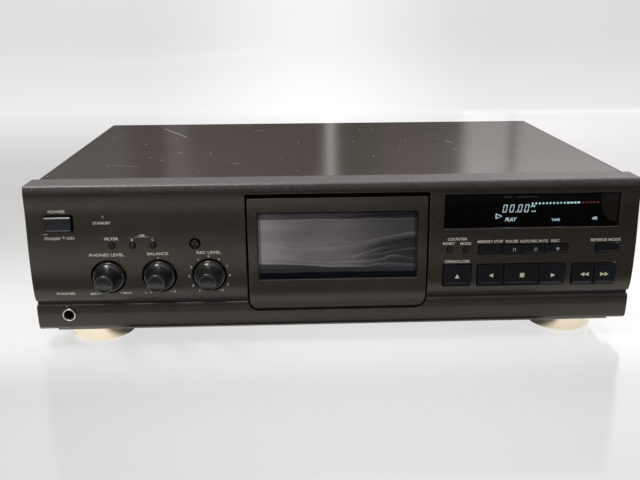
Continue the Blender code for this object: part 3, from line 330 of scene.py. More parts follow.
def window_material():
    """Smoked acrylic with a painted reflection: a few long streaks, crisp above and soft below, that part towards one
    end.
    """
    mat = surface("door_smoke_painted_reflection", (0.0035, 0.0045, 0.0085), 0.06, spec=0.16, alpha=0.82, grain=None, dust=0.02)
    tree = mat.node_tree
    bsdf = tree.nodes["Principled BSDF"]
    where = tree.nodes.new("ShaderNodeTexCoord").outputs["Object"]
    axes = node(tree, "ShaderNodeSeparateXYZ")
    tree.links.new(where, axes.inputs[0])
    x = maths(tree, "MULTIPLY", axes.outputs["X"], 1000.0)
    z = maths(tree, "SUBTRACT", maths(tree, "MULTIPLY", axes.outputs["Z"], 1000.0), Z_SHIFT)
    ripple = span(tree, noise(tree, where, 1.0, 2.0, 0.5, stretch=(60.0, 1.0, 90.0)), 0.3, 0.7, -0.35, 0.35)
    z = maths(tree, "ADD", z, ripple)

    # each streak is a painted reflection line along a path through (x, z) points
    def stroke(path, strength, crisp, tail, tail_share):
        gap = maths(tree, "SUBTRACT", z, curve(tree, x, path))
        core = span(tree, maths(tree, "ABSOLUTE", gap, 0.0), 0.0, crisp, 1.0, 0.0, True)
        below = maths(tree, "MULTIPLY", span(tree, gap, -tail, 0.0, 0.0, 1.0, True), span(tree, gap, 0.0, crisp, 1.0, 0.0, True))
        both = maths(tree, "MAXIMUM", core, maths(tree, "MULTIPLY", below, tail_share))
        return maths(tree, "MULTIPLY", both, curve(tree, x, strength)), gap

    upper, over = stroke([(-56, 64.8), (-45, 61.7), (-37, 59.6), (-25, 57.8), (-7, 58.2), (10, 60.3), (22, 62.9), (35, 65.7),
                          (46, 67.9), (53, 68.6), (57.5, 64.6)],
                         [(-56, 0.0), (-44, 0.05), (-36, 0.14), (-20, 0.14), (10, 0.10), (30, 0.22), (50, 0.26), (57.5, 0.18)], 0.7, 3.6, 0.35)
    second, _ = stroke([(-20, 55.0), (-7, 53.6), (10, 52.2), (18, 54.2), (25, 56.2), (31, 57.9), (40, 59.7), (57.5, 61.4)],
                       [(-20, 0.0), (4, 0.02), (16, 0.24), (26, 0.26), (36, 0.06), (57.5, 0.0)], 0.9, 2.6, 0.5)
    third, _ = stroke([(8, 50.0), (16, 51.8), (24, 53.2), (31, 53.9), (39, 55.5), (47, 56.7), (54, 57.5), (57.5, 55.9)],
                      [(8, 0.0), (18, 0.04), (28, 0.20), (42, 0.16), (54, 0.22), (57.5, 0.15)], 0.55, 1.8, 0.3)
    fourth, _ = stroke([(-10, 48.6), (15, 48.9), (25, 49.2), (34, 50.4), (40, 52.4), (46, 51.8), (52, 50.0), (57.5, 49.0)],
                       [(-10, 0.0), (8, 0.06), (24, 0.22), (40, 0.30), (48, 0.14), (57.5, 0.12)], 0.7, 3.0, 0.45)
    fifth, _ = stroke([(-56, 53.2), (-40, 51.8), (-28, 49.8), (-7, 48.3), (10, 48.1), (19, 48.3), (27, 46.8), (44, 44.6), (57.5, 43.0)],
                      [(-56, 0.0), (-36, 0.10), (-20, 0.12), (0, 0.16), (16, 0.20), (30, 0.10), (57.5, 0.04)], 0.7, 1.6, 0.2)
    floor_line = [(-56, 47.9), (-23, 46.4), (2, 44.8), (19, 44.8), (35, 46.4), (44, 46.0), (57.5, 43.8)]
    lowest, rest = stroke(floor_line, [(-56, 0.16), (-30, 0.20), (0, 0.28), (20, 0.26), (36, 0.24), (57.5, 0.30)], 0.8, 0.5, 0.2)

    body = curve(tree, x, [(-56, 0.60), (-52, 0.66), (-47, 0.62), (-40, 0.54), (-34, 0.46), (-20, 0.40), (0, 0.36), (20, 0.27), (38, 0.19), (57.5, 0.15)])
    reflection_blotches = noise(tree, where, 1.0, 3.0, 0.55, stretch=(22.0, 1.0, 46.0), distortion=0.4)
    lines = noise(tree, where, 1.0, 3.0, 0.6, stretch=(7.0, 1.0, 200.0), distortion=0.3)
    body = maths(tree, "MULTIPLY", body, span(tree, reflection_blotches, 0.3, 0.7, 0.84, 1.16))
    body = maths(tree, "MULTIPLY", body, span(tree, lines, 0.3, 0.7, 0.90, 1.10))
    # gloom: painted shade that darkens the reflection under the upper streak towards the right
    gloom = maths(tree, "MULTIPLY", span(tree, over, -5.0, -0.2, 1.0, 0.0, True), span(tree, x, 6.0, 32.0, 0.0, 0.72, True))
    body = maths(tree, "MULTIPLY", body, maths(tree, "SUBTRACT", 1.0, gloom))
    painted_reflection = body
    for part in (upper, second, third, fourth, fifth, lowest):
        painted_reflection = maths(tree, "ADD", painted_reflection, part)
    # painted reflection: weaker in the belt above the tape's window, a darker shelf below the streaks and none in the
    # clear strip at the bottom
    belt = span(tree, z, 79.0, 79.7, 1.0, 0.34, True)
    painted_reflection = maths(tree, "MULTIPLY", painted_reflection, belt)
    # rim: a painted highlight line along z 79.1
    rim = maths(tree, "MULTIPLY", span(tree, maths(tree, "ABSOLUTE", maths(tree, "SUBTRACT", z, 79.1), 0.0), 0.0, 0.5, 1.0, 0.0, True), curve(tree, x, [(-56, 0.0), (-30, 0.03), (10, 0.10), (50, 0.16), (57.5, 0.05)]))
    painted_reflection = maths(tree, "ADD", painted_reflection, rim)
    # dark: a painted dark line across the top of the reflection
    dark, _ = stroke([(0, 80.8), (9, 81.0), (30, 81.6), (57.5, 82.4)], [(0, 0.0), (12, 0.7), (40, 0.85), (57.5, 0.5)], 1.0, 1.0, 0.0)
    painted_reflection = maths(tree, "MULTIPLY", painted_reflection, maths(tree, "SUBTRACT", 1.0, dark))
    shelf = span(tree, rest, -0.9, -0.1, 1.0, 0.0, True)
    shelf_tone = maths(tree, "MULTIPLY", curve(tree, x, [(-56, 0.10), (-20, 0.08), (20, 0.09), (57.5, 0.10)]), span(tree, lines, 0.35, 0.65, 0.8, 1.3))
    painted_reflection = maths(tree, "ADD", maths(tree, "MULTIPLY", painted_reflection, maths(tree, "SUBTRACT", 1.0, shelf)), maths(tree, "MULTIPLY", shelf_tone, shelf))
    painted_reflection = maths(tree, "MULTIPLY", painted_reflection, span(tree, z, 40.3, 40.9, 0.0, 1.0, True))
    painted_reflection = maths(tree, "MULTIPLY", painted_reflection, span(tree, x, -53.9, -53.3, 0.5, 1.0, True))
    painted_reflection = maths(tree, "MULTIPLY", painted_reflection, span(tree, x, 54.6, 55.3, 1.0, 0.35, True))
    painted_reflection = maths(tree, "MAXIMUM", maths(tree, "MINIMUM", painted_reflection, 1.0), 0.0)
    # the pane is painted towards a pale grey wherever the reflection shows
    old = bsdf.inputs["Base Color"].links[0].from_socket
    color = blend_color(tree, painted_reflection, old, (0.415, 0.378, 0.396))
    tree.links.new(color, bsdf.inputs["Base Color"])
    return mat


WINDOW_SMOKE = window_material()


# ================================================================== mesh helpers
def stitch(bm, weld):
    """Closes seams where one side has more vertices than the other, and drops slivers that hang on them."""
    for _ in range(3):
        rim = [e for e in bm.edges if len(e.link_faces) == 1]
        hanging = [f for f in bm.faces if sum(len(e.link_faces) == 1 for e in f.edges) >= 2
                   and any(len(e.link_faces) > 2 for e in f.edges)]
        if hanging:
            bmesh.ops.delete(bm, geom=hanging, context="FACES")
            continue
        if not rim:
            return
        spots = sorted({v for e in rim for v in e.verts}, key=lambda v: tuple(v.co))
        jobs = []
        for e in rim:
            a, b = e.verts
            ab = b.co - a.co
            flat = ab.x * ab.x + ab.z * ab.z
            if flat < 1e-14:
                continue
            hits = []
            for v in spots:
                if v is a or v is b:
                    continue
                av = v.co - a.co
                t = (av.x * ab.x + av.z * ab.z) / flat
                if 1e-3 < t < 0.999 and abs(av.x * ab.z - av.z * ab.x) / math.sqrt(flat) < 0.006 * MM and abs(av.y - ab.y * t) < 1.3 * MM:
                    hits.append((t, v.co.copy()))
            if hits:
                jobs.append((e, a, b, sorted(hits, key=lambda h: h[0])))
        for e, a, b, hits in jobs:
            for t, spot in hits:
                _, made = bmesh.utils.edge_split(e, a, 0.5)
                made.co = spot
                a = made
                e = next(k for k in made.link_edges if k.other_vert(made) is b)
        bmesh.ops.remove_doubles(bm, verts=bm.verts, dist=weld)


class Part:
    """Collects closed shapes, in millimetres, for one object."""

    def __init__(self):
        self.verts, self.faces = [], []

    def add(self, verts, faces):
        base = len(self.verts)
        self.verts += [tuple(v) for v in verts]
        self.faces += [tuple(base + i for i in f) for f in faces]
        return self

    def rings(self, rings, caps=(True, True), closed=False):
        """Joins rings of equal length and caps both ends."""
        n = len(rings[0])
        verts = [p for ring in rings for p in ring]
        faces = []
        m = len(rings)
        for i in range(m if closed else m - 1):
            a, b = i * n, ((i + 1) % m) * n
            for k in range(n):
                faces.append((a + k, a + (k + 1) % n, b + (k + 1) % n, b + k))
        if not closed:
            if caps[0]:
                faces.append(tuple(range(n))[::-1])
            if caps[1]:
                faces.append(tuple(range((m - 1) * n, m * n)))
        return self.add(verts, faces)

    def lathe(self, profile, axis, centre, steps=48):
        """profile is (radius, place along the axis). A radius of 0 at an end closes it."""
        loop = profile[0] == profile[-1]
        if loop:
            profile = profile[:-1]
        verts, rows = [], []
        for r, h in profile:
            row = []
            for k in range(1 if r < 1e-6 else steps):
                a = 2 * math.pi * k / steps
                c, s = r * math.cos(a), r * math.sin(a)
                verts.append({"X": (h, centre[0] + c, centre[1] + s), "Y": (centre[0] + c, h, centre[1] + s),
                              "Z": (centre[0] + c, centre[1] + s, h)}[axis])
                row.append(len(verts) - 1)
            rows.append(row)
        faces = []
        pairs = list(zip(rows, rows[1:])) + ([(rows[-1], rows[0])] if loop else [])
        for a, b in pairs:
            for k in range(steps):
                j = (k + 1) % steps
                if len(a) == 1 and len(b) == 1:
                    continue
                if len(a) == 1:
                    faces.append((a[0], b[j], b[k]))
                elif len(b) == 1:
                    faces.append((a[k], a[j], b[0]))
                else:
                    faces.append((a[k], a[j], b[j], b[k]))
        return self.add(verts, faces)

    def slab(self, outline, plane, low, high, edge=0.0):
        """A flat outline given as (u, v) and extruded, with a small chamfer on its rims."""
        def at(u, v, w):
            return {"XZ": (u, w, v), "XY": (u, v, w), "YZ": (w, u, v)}[plane]
        if edge <= 0:
            return self.rings([[at(u, v, low) for u, v in outline], [at(u, v, high) for u, v in outline]])
        inner = offset(outline, -edge)
        return self.rings([[at(u, v, low) for u, v in inner], [at(u, v, low + edge) for u, v in outline],
                           [at(u, v, high - edge) for u, v in outline], [at(u, v, high) for u, v in inner]])

    def build(self, name, material, body, replaces=(), angle=32.0, origin=None, weld=0.0008, materials=None, pick=None):
        base = place(*(origin or (0.0, 0.0, 0.0))) if origin else Vector((0.0, 0.0, 0.0))
        bm = bmesh.new()
        made = [bm.verts.new(place(*v) - base) for v in self.verts]
        for f in self.faces:
            ids = []
            for i in f:
                if not ids or ids[-1] != i:
                    ids.append(i)
            if len(set(ids)) >= 3:
                try:
                    bm.faces.new([made[i] for i in ids])
                except ValueError:
                    pass
        bmesh.ops.remove_doubles(bm, verts=bm.verts, dist=weld * MM)
        bmesh.ops.dissolve_degenerate(bm, edges=bm.edges, dist=weld * MM * 0.5)
        stitch(bm, weld * MM)
        tight = [e for e in bm.edges if len(e.link_faces) > 2 and e.calc_length() < 0.06 * MM]
        if tight:
            bmesh.ops.collapse(bm, edges=tight, uvs=False)
            bmesh.ops.dissolve_degenerate(bm, dist=0.002 * MM, edges=bm.edges)
            bmesh.ops.delete(bm, geom=[e for e in bm.edges if not e.link_faces], context="EDGES")
        loose = [v for v in bm.verts if not v.link_faces]
        bmesh.ops.delete(bm, geom=loose, context="VERTS")
        bmesh.ops.recalc_face_normals(bm, faces=bm.faces)
        if pick:
            for f in bm.faces:
                f.material_index = pick(f.calc_center_median() + base, f.normal)
        open_edges = sum(1 for e in bm.edges if len(e.link_faces) != 2)
        if open_edges:
            print("open edges", name, open_edges)
        mesh = bpy.data.meshes.new(name)
        bm.to_mesh(mesh)
        bm.free()
        mesh.shade_smooth()
        mesh.set_sharp_from_angle(angle=math.radians(angle))
        obj = bpy.data.objects.new(name, mesh)
        obj.location = base
        DECK.objects.link(obj)
        for m in materials or [material]:
            mesh.materials.append(m)
        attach(obj, body)
        if replaces:
            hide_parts(*replaces)
        return obj


def fillet(points, radii, steps=5, closed=False):
    """Rounds the corners of a path. radii is one radius, or one for each point."""
    n = len(points)
    if isinstance(radii, (int, float)):
        radii = [radii] * n
    out = []
    for i, p in enumerate(points):
        r = radii[i]
        if r <= 0 or (not closed and i in (0, n - 1)):
            out.append(p)
            continue
        a, b, c = Vector(points[i - 1]), Vector(p), Vector(points[(i + 1) % n])
        u, v = (a - b), (c - b)
        lu, lv = u.length, v.length
        u, v = u / lu, v / lv
        turn = math.acos(max(-1.0, min(1.0, -u.dot(v))))
        if turn < 0.02:
            out.append(p)
            continue
        t = min(r * math.tan(turn / 2), 0.49 * lu, 0.49 * lv)
        r = t / math.tan(turn / 2)
        start = b + u * t
        centre = b + (u + v).normalized() * math.hypot(t, r)
        first = start - centre
        sign = 1.0 if (-u).x * v.y - (-u).y * v.x > 0 else -1.0
        for k in range(steps + 1):
            ang = sign * turn * k / steps
            c_, s_ = math.cos(ang), math.sin(ang)
            out.append((centre.x + first.x * c_ - first.y * s_, centre.y + first.x * s_ + first.y * c_))
    return out


def signed_area(loop):
    return 0.5 * sum(a[0] * b[1] - b[0] * a[1] for a, b in zip(loop, loop[1:] + loop[:1]))


def offset(loop, d):
    """Moves a closed outline outwards by d, corners mitred."""
    n = len(loop)
    ccw = signed_area(loop) > 0
    out = []
    for i in range(n):
        a, b, c = Vector(loop[i - 1]), Vector(loop[i]), Vector(loop[(i + 1) % n])
        e1, e2 = (b - a), (c - b)
        if e1.length < 1e-9 or e2.length < 1e-9:
            e1 = e2 = e1 if e1.length > e2.length else e2
        e1, e2 = e1.normalized(), e2.normalized()
        n1, n2 = Vector((e1.y, -e1.x)), Vector((e2.y, -e2.x))
        m = n1 + n2
        m = m / max(0.25, m.dot(n1)) if m.length > 1e-6 else n1
        s = d if ccw else -d
        out.append((b.x + m.x * s, b.y + m.y * s))
    return out


def rounded(x0, x1, z0, z1, low_r, high_r=None, steps=5):
    high_r = low_r if high_r is None else high_r
    pts = []
    for cx, cz, r, start in ((x1 - low_r, z0 + low_r, low_r, -90), (x1 - high_r, z1 - high_r, high_r, 0),
                             (x0 + high_r, z1 - high_r, high_r, 90), (x0 + low_r, z0 + low_r, low_r, 180)):
        for i in range(steps + 1):
            a = math.radians(start + 90 * i / steps)
            pts.append((cx + r * math.cos(a), cz + r * math.sin(a)))
    return pts


def circle(cx, cz, r, steps=48):
    return [(cx + r * math.cos(2 * math.pi * i / steps), cz + r * math.sin(2 * math.pi * i / steps)) for i in range(steps)]


def inside(p, loop):
    x, y = p
    hit = False
    for (ax, ay), (bx, by) in zip(loop, loop[1:] + loop[:1]):
        if (ay > y) != (by > y) and x < (bx - ax) * (y - ay) / (by - ay) + ax:
            hit = not hit
    return hit


def net(loops, lines, holes):
    """Triangles of a flat region bounded by the first loop, without the holes, with every loop and line as edges."""
    verts, edges = [], []
    for loop in loops:
        base = len(verts)
        verts += [Vector(p) for p in loop]
        edges += [(base + i, base + (i + 1) % len(loop)) for i in range(len(loop))]
    for a, b in lines:
        base = len(verts)
        verts += [Vector(a), Vector(b)]
        edges.append((base, base + 1))
    out = delaunay_2d_cdt(verts, edges, [], 0, 1e-4, False)
    pts, tris = [tuple(v) for v in out[0]], []
    outer = loops[0]
    boxes = [(min(p[0] for p in h), max(p[0] for p in h), min(p[1] for p in h), max(p[1] for p in h), h) for h in holes]
    for t in out[2]:
        cx = sum(pts[i][0] for i in t) / len(t)
        cz = sum(pts[i][1] for i in t) / len(t)
        if not inside((cx, cz), outer):
            continue
        if any(x0 < cx < x1 and z0 < cz < z1 and inside((cx, cz), h) for x0, x1, z0, z1, h in boxes):
            continue
        tris.append(tuple(t))
    return pts, tris


def borders(tris):
    """Ordered boundary loops of a triangle set."""
    count = {}
    for t in tris:
        for a, b in zip(t, t[1:] + t[:1]):
            key = (min(a, b), max(a, b))
            count[key] = None if key in count else (a, b)
    after = {}
    for v in count.values():
        if v:
            after.setdefault(v[0], []).append(v[1])
    loops = []
    while after:
        start = next(iter(after))
        loop, here = [start], after[start].pop()
        if not after[start]:
            del after[start]
        while here != start:
            loop.append(here)
            nxt = after[here].pop()
            if not after[here]:
                del after[here]
            here = nxt
        loops.append(loop)
    return loops


def lerp_table(table):
    """y as a function of z from (y, z) pairs that run from high z to low z."""
    rows = sorted((z, y) for y, z in table)

    def f(z):
        if z <= rows[0][0]:
            return rows[0][1]
        for (za, ya), (zb, yb) in zip(rows, rows[1:]):
            if z <= zb:
                return ya if zb - za < 1e-9 else ya + (yb - ya) * (z - za) / (zb - za)
        return rows[-1][1]
    return f


def smooth_table(table, step=2.0):
    """A finer table of (y, z) along a smooth curve through the given points, which run from high z to low z."""
    rows = [(z, y) for y, z in table]
    n = len(rows)
    slope = []
    for i in range(n):
        if i in (0, n - 1):
            a, b = (0, 1) if i == 0 else (n - 2, n - 1)
            slope.append((rows[b][1] - rows[a][1]) / (rows[b][0] - rows[a][0]))
        else:
            h0, h1 = rows[i][0] - rows[i - 1][0], rows[i + 1][0] - rows[i][0]
            d0, d1 = (rows[i][1] - rows[i - 1][1]) / h0, (rows[i + 1][1] - rows[i][1]) / h1
            slope.append((d0 * h1 + d1 * h0) / (h0 + h1))
    out = []
    for i in range(n - 1):
        (z0, y0), (z1, y1) = rows[i], rows[i + 1]
        h = z1 - z0
        k = max(1, int(round(abs(h) / step)))
        for j in range(k):
            t = j / k
            y = ((2 * t ** 3 - 3 * t ** 2 + 1) * y0 + (t ** 3 - 2 * t ** 2 + t) * h * slope[i]
                 + (-2 * t ** 3 + 3 * t ** 2) * y1 + (t ** 3 - t ** 2) * h * slope[i + 1])
            out.append((y, z0 + h * t))
    out.append((rows[-1][1], rows[-1][0]))
    return out


# ================================================================== profiles of the front
FACE_POINTS = [(0.62, 102.6), (0.22, 100.6), (0.05, 98.6), (0.0, 96.6), (0.0, 88.0), (-0.5, 80.0), (-1.3, 71.0), (-2.1, 60.0),
               (-2.5, 48.0), (-2.4, 37.0), (-1.8, 29.0), (-0.9, 24.7)]
TOP_Y, LOW_Y, LOW_Z = 3.2, 2.2, -0.5
TOP_ARC = [(TOP_Y - 2.4 * math.cos(math.radians(a)), 103.1 + 2.4 * math.sin(math.radians(a))) for a in range(90, 15, -10)]
FACE_FINE = smooth_table(FACE_POINTS, 2.2)
LOWER = fillet([(-0.9, 24.7), (0.35, 21.75), (3.2, 21.0), (3.2, 18.8), (1.0, 18.3), (0.05, 16.3), (-0.1, 11.6),
                (0.1, 5.4), (0.55, 1.4), (LOW_Y, LOW_Z)], [0, 0.75, 0.25, 0.25, 1.2, 2.5, 6.0, 6.0, 2.0, 0], 6)
FRONT_PATH = TOP_ARC + FACE_FINE + LOWER[1:]
for i in range(1, len(FRONT_PATH)):          # heights have to fall all the way down
    if FRONT_PATH[i][1] > FRONT_PATH[i - 1][1] - 0.004:
        FRONT_PATH[i] = (FRONT_PATH[i][0], FRONT_PATH[i - 1][1] - 0.004)
FRONT_PATH[-1] = (LOW_Y, LOW_Z)
front_y = lerp_table(FRONT_PATH)
face_y = lerp_table(FACE_FINE)
CAVITY = [(4.0, 103.0), (2.9, 101.5), (2.5, 96.0), (2.5, 88.0), (2.0, 80.0), (1.2, 71.0), (0.4, 60.0),
          (0.0, 48.0), (0.1, 37.0), (0.7, 29.0), (2.2, 24.5), (5.7, 22.8), (5.7, 18.0), (2.8, 16.0), (2.5, 12.0),
          (2.8, 6.0), (4.0, 2.5)]
cavity_y = lerp_table(CAVITY)

DOOR_OPENING = (-64.0, 65.3, 10.5, 97.8)
DISPLAY = (75.9, 201.0, 71.2, 95.5)
POWER = (-201.5, -183.4, 74.2, 84.6)
LAMP_AT = (-161.9, 83.7)
PHONES = (-192.1, 11.4)
KNOBS = {"phones_level_knob": (-161.1, 40.2), "balance_knob": (-125.6, 40.3), "record_level_knob": (-90.4, 40.3)}
TALL_ROW = {"open_close_button": (76.5, 96.2, 28.6, 44.4), "reverse_play_button": (101.3, 119.7, 28.4, 44.3),
            "stop_button": (120.4, 145.5, 28.4, 44.3), "forward_play_button": (146.2, 164.5, 28.4, 44.3),
            "rewind_button": (170.1, 185.5, 28.2, 43.9), "fast_forward_button": (186.2, 201.6, 28.2, 43.9)}
LOW_ROW = {"memory_button": (101.3, 118.1, 52.4, 58.6), "pause_button": (118.7, 132.5, 52.4, 58.6),
           "rec_mute_button": (133.1, 148.2, 52.4, 58.6), "record_button": (148.8, 165.3, 52.4, 58.6),
           "reverse_mode_button": (185.8, 201.9, 52.4, 58.4)}
BUTTON_GROUPS = [(76.5, 96.2, 28.6, 44.4), (101.3, 164.5, 28.4, 44.3), (170.1, 201.6, 28.2, 43.9),
                 (101.3, 165.3, 52.4, 58.6), (185.8, 201.9, 52.4, 58.4)]
ROUND_BUTTONS = {"filter_button": (-157.1, 63.2, 1.9), "noise_button_one": (-142.8, 63.2, 1.9),
                 "noise_button_two": (-128.7, 63.2, 1.9), "calibrate_button": (-99.6, 63.7, 2.75),
                 "counter_reset_button": (80.4, 56.2, 1.9), "counter_mode_button": (92.2, 56.0, 1.9)}
ROUND_HOLES = {"calibrate_button": 3.95}


def ring_steps(r, count=3):
    return [(r * math.sin(math.pi / 2 * k / count), r * (1 - math.cos(math.pi / 2 * k / count))) for k in range(1, count + 1)]


def grow_loop(pts, loop, outward):
    """Unit offset directions of a boundary loop, mitred, towards its inside or away from it."""
    ring = [pts[i] for i in loop]
    moved = offset(ring, 1.0 if outward else -1.0)
    return [(m[0] - p[0], m[1] - p[1]) for m, p in zip(moved, ring)]


def front_panel():
    """The moulded front: one closed shell with a rounded top edge, a bowed face, a groove, a lower lip,
    rounded ends and softened openings."""
    end_r, wall_x, back_y = 0.9, 212.5, 21.8
    left, right = -215.0 + end_r, 215.0 - end_r
    holes = [(lambda g: rounded(DOOR_OPENING[0] - g, DOOR_OPENING[1] + g, DOOR_OPENING[2] - g, DOOR_OPENING[3] + g,
                                8.5 + g, 1.0 + g, 8), 0.45),
             (lambda g: rounded(DISPLAY[0] - 0.3 - g, DISPLAY[1] + 0.3 + g, DISPLAY[2] - 0.3 - g, DISPLAY[3] + 0.3 + g,
                                0.5 + g, None, 4), 0.35),
             (lambda g: rounded(POWER[0] - 0.5 - g, POWER[1] + 0.9 + g, POWER[2] - 0.5 - g, POWER[3] + 0.3 + g,
                                0.5 + g, None, 4), 0.3),
             (lambda g: circle(*LAMP_AT, 1.5 + g, 20), 0.15),
             (lambda g: circle(*PHONES, 4.3 + g, 36), 0.3)]
    for where in KNOBS.values():
        holes.append(((lambda g, w=where: circle(*w, 12.2 + g, 64)), 0.4))
    for n, (x, z, r) in ROUND_BUTTONS.items():
        holes.append(((lambda g, w=(x, z), r=ROUND_HOLES.get(n, 2.3): circle(*w, r + g, 28)), 0.25))
    for x0, x1, z0, z1 in BUTTON_GROUPS:
        low = 1.6 if z1 - z0 > 10 else 0.8
        holes.append(((lambda g, b=(x0, x1, z0, z1), low=low: rounded(b[0] - 0.6 - g, b[1] + 0.6 + g, b[2] - 0.6 - g,
                                                                     b[3] + 0.6 + g, low + g, 0.5 + g, 5)), 0.3))
    outer = [(left, LOW_Z), (right, LOW_Z), (right, PANEL_H), (left, PANEL_H)]
    cut = [f(r) for f, r in holes]
    support = [f(r + 0.14) for f, r in holes]
    lines = [((left, z), (right, z)) for y, z in FRONT_PATH[1:-1]]
    lines += [((left + 0.25, LOW_Z), (left + 0.25, PANEL_H)), ((right - 0.25, LOW_Z), (right - 0.25, PANEL_H))]
    pts, tris = net([outer] + cut + support, lines, cut)
    part = Part()
    part.add([(x, front_y(z) if LOW_Z < z < PANEL_H else (LOW_Y if z <= LOW_Z else TOP_Y), z) for x, z in pts], tris)
    back_loops = []
    for loop in borders(tris):
        ring = [pts[i] for i in loop]
        mid = (sum(p[0] for p in ring) / len(ring), sum(p[1] for p in ring) / len(ring))
        match = [k for k, s in enumerate(support) if inside(ring[0], s)]
        if not match:
            continue
        r = holes[match[0]][1]
        dirs = grow_loop(pts, loop, False)
        rings = [[(x, front_y(z), z) for x, z in ring]]
        for out, deep in ring_steps(r):
            rings.append([(x + d[0] * out, front_y(z) + deep, z + d[1] * out) for (x, z), d in zip(ring, dirs)])
        rings.append([(x, cavity_y(z), z) for x, y, z in rings[-1]])
        part.rings(rings, caps=(False, False))
        back_loops.append([(x, z) for x, y, z in rings[-1]])
    # ends, top strip, bottom and the rim at the back
    path = [(back_y, PANEL_H)] + [(TOP_Y, PANEL_H)] + [(y, z) for y, z in FRONT_PATH[1:-1]] + [(LOW_Y, LOW_Z), (back_y, LOW_Z)]
    normals = []
    for i, p in enumerate(path):
        a, b = Vector(path[max(0, i - 1)]), Vector(path[min(len(path) - 1, i + 1)])
        t = (b - a).normalized()
        normals.append((t.y, -t.x))
    normals[0], normals[-1] = (0.0, 1.0), (0.0, -1.0)
    normals[1], normals[-2] = (0.0, 1.0), (0.0, -1.0)
    for i, (ny, nz) in enumerate(normals):
        if 1 < i < len(path) - 2 and ny > 0 and path[i][0] < 3.0:
            normals[i] = (-ny, -nz)
    ends = {}
    for s in (-1, 1):
        base = right if s > 0 else left
        rows = []
        for k in range(5):
            a = math.pi / 2 * k / 4
            x, d = base + s * end_r * math.sin(a), end_r * (1 - math.cos(a))
            rows.append([(x, y - n[0] * d, z - n[1] * d) for (y, z), n in zip(path, normals)])
        verts = [p for row in rows for p in row]
        n = len(path)
        faces = [(k * n + i, k * n + i + 1, (k + 1) * n + i + 1, (k + 1) * n + i) for k in range(4) for i in range(n - 1)]
        part.add(verts, faces)
        part.add(rows[-1], [tuple(range(n))])
        ends[s] = rows
    for y, z in ((TOP_Y, PANEL_H), (LOW_Y, LOW_Z)):
        edge = sorted({round(p[0], 4) for p in pts if abs(p[1] - z) < 1e-4})
        part.add([(x, y, z) for x in edge] + [(right, back_y, z), (left, back_y, z)], [tuple(range(len(edge) + 2))])
    rim = [(r[0][0], r[0][2]) for r in ends[1]] + [(r[-1][0], r[-1][2]) for r in reversed(ends[1])]
    rim += [(r[-1][0], r[-1][2]) for r in ends[-1]] + [(r[0][0], r[0][2]) for r in reversed(ends[-1])]
    inner = [(-wall_x, 2.5), (wall_x, 2.5), (wall_x, 103.0), (-wall_x, 103.0)]
    rp, rt = net([rim, inner], [], [inner])
    part.add([(x, back_y, z) for x, z in rp], rt)
    # inner faces
    side = [(y, z) for y, z in CAVITY]
    for s in (-1, 1):
        part.add([(s * wall_x, back_y, 103.0)] + [(s * wall_x, y, z) for y, z in side] + [(s * wall_x, back_y, 2.5)],
                 [tuple(range(len(side) + 2))])
    for z, y in ((103.0, 4.0), (2.5, 4.0)):
        part.add([(-wall_x, y, z), (wall_x, y, z), (wall_x, back_y, z), (-wall_x, back_y, z)], [(0, 1, 2, 3)])
    frame_loop = [(-wall_x, z) for y, z in side] + [(wall_x, z) for y, z in reversed(side)]
    frame_loop = frame_loop[::-1]
    bars = [((sx * wall_x, z), (ex, z)) for z in (24.5, 22.8, 18.0, 16.0)
            for sx, ex in ((-1, DOOR_OPENING[0] - 3.0), (1, DOOR_OPENING[1] + 3.0))]
    bp, bt = net([frame_loop] + back_loops, bars, back_loops)
    part.add([(x, cavity_y(z), z) for x, z in bp], bt)
    return part.build("front_moulding", PANEL, "root", ["front_panel"], angle=38.0)


front_panel()

# the two lugs behind the panel that carry the door's pins
for side, x0, x1 in (("left", -68.6, -64.3), ("right", 65.6, 69.9)):
    lug = Part()
    block = rounded(1.0, 6.8, 10.9, 15.9, 0.6, None, 3)
    bore = circle(2.8, 14.2, 1.28, 20)
    lp, lt = net([block, bore], [], [bore])
    for x in (x0, x1):
        lug.add([(x, y, z) for y, z in lp], lt)
    for loop in (block, bore):
        n = len(loop)
        lug.add([(x0, y, z) for y, z in loop] + [(x1, y, z) for y, z in loop],
                [(i, (i + 1) % n, n + (i + 1) % n, n + i) for i in range(n)])
    lug.build(f"hinge_lug_{side}", PANEL, "root")


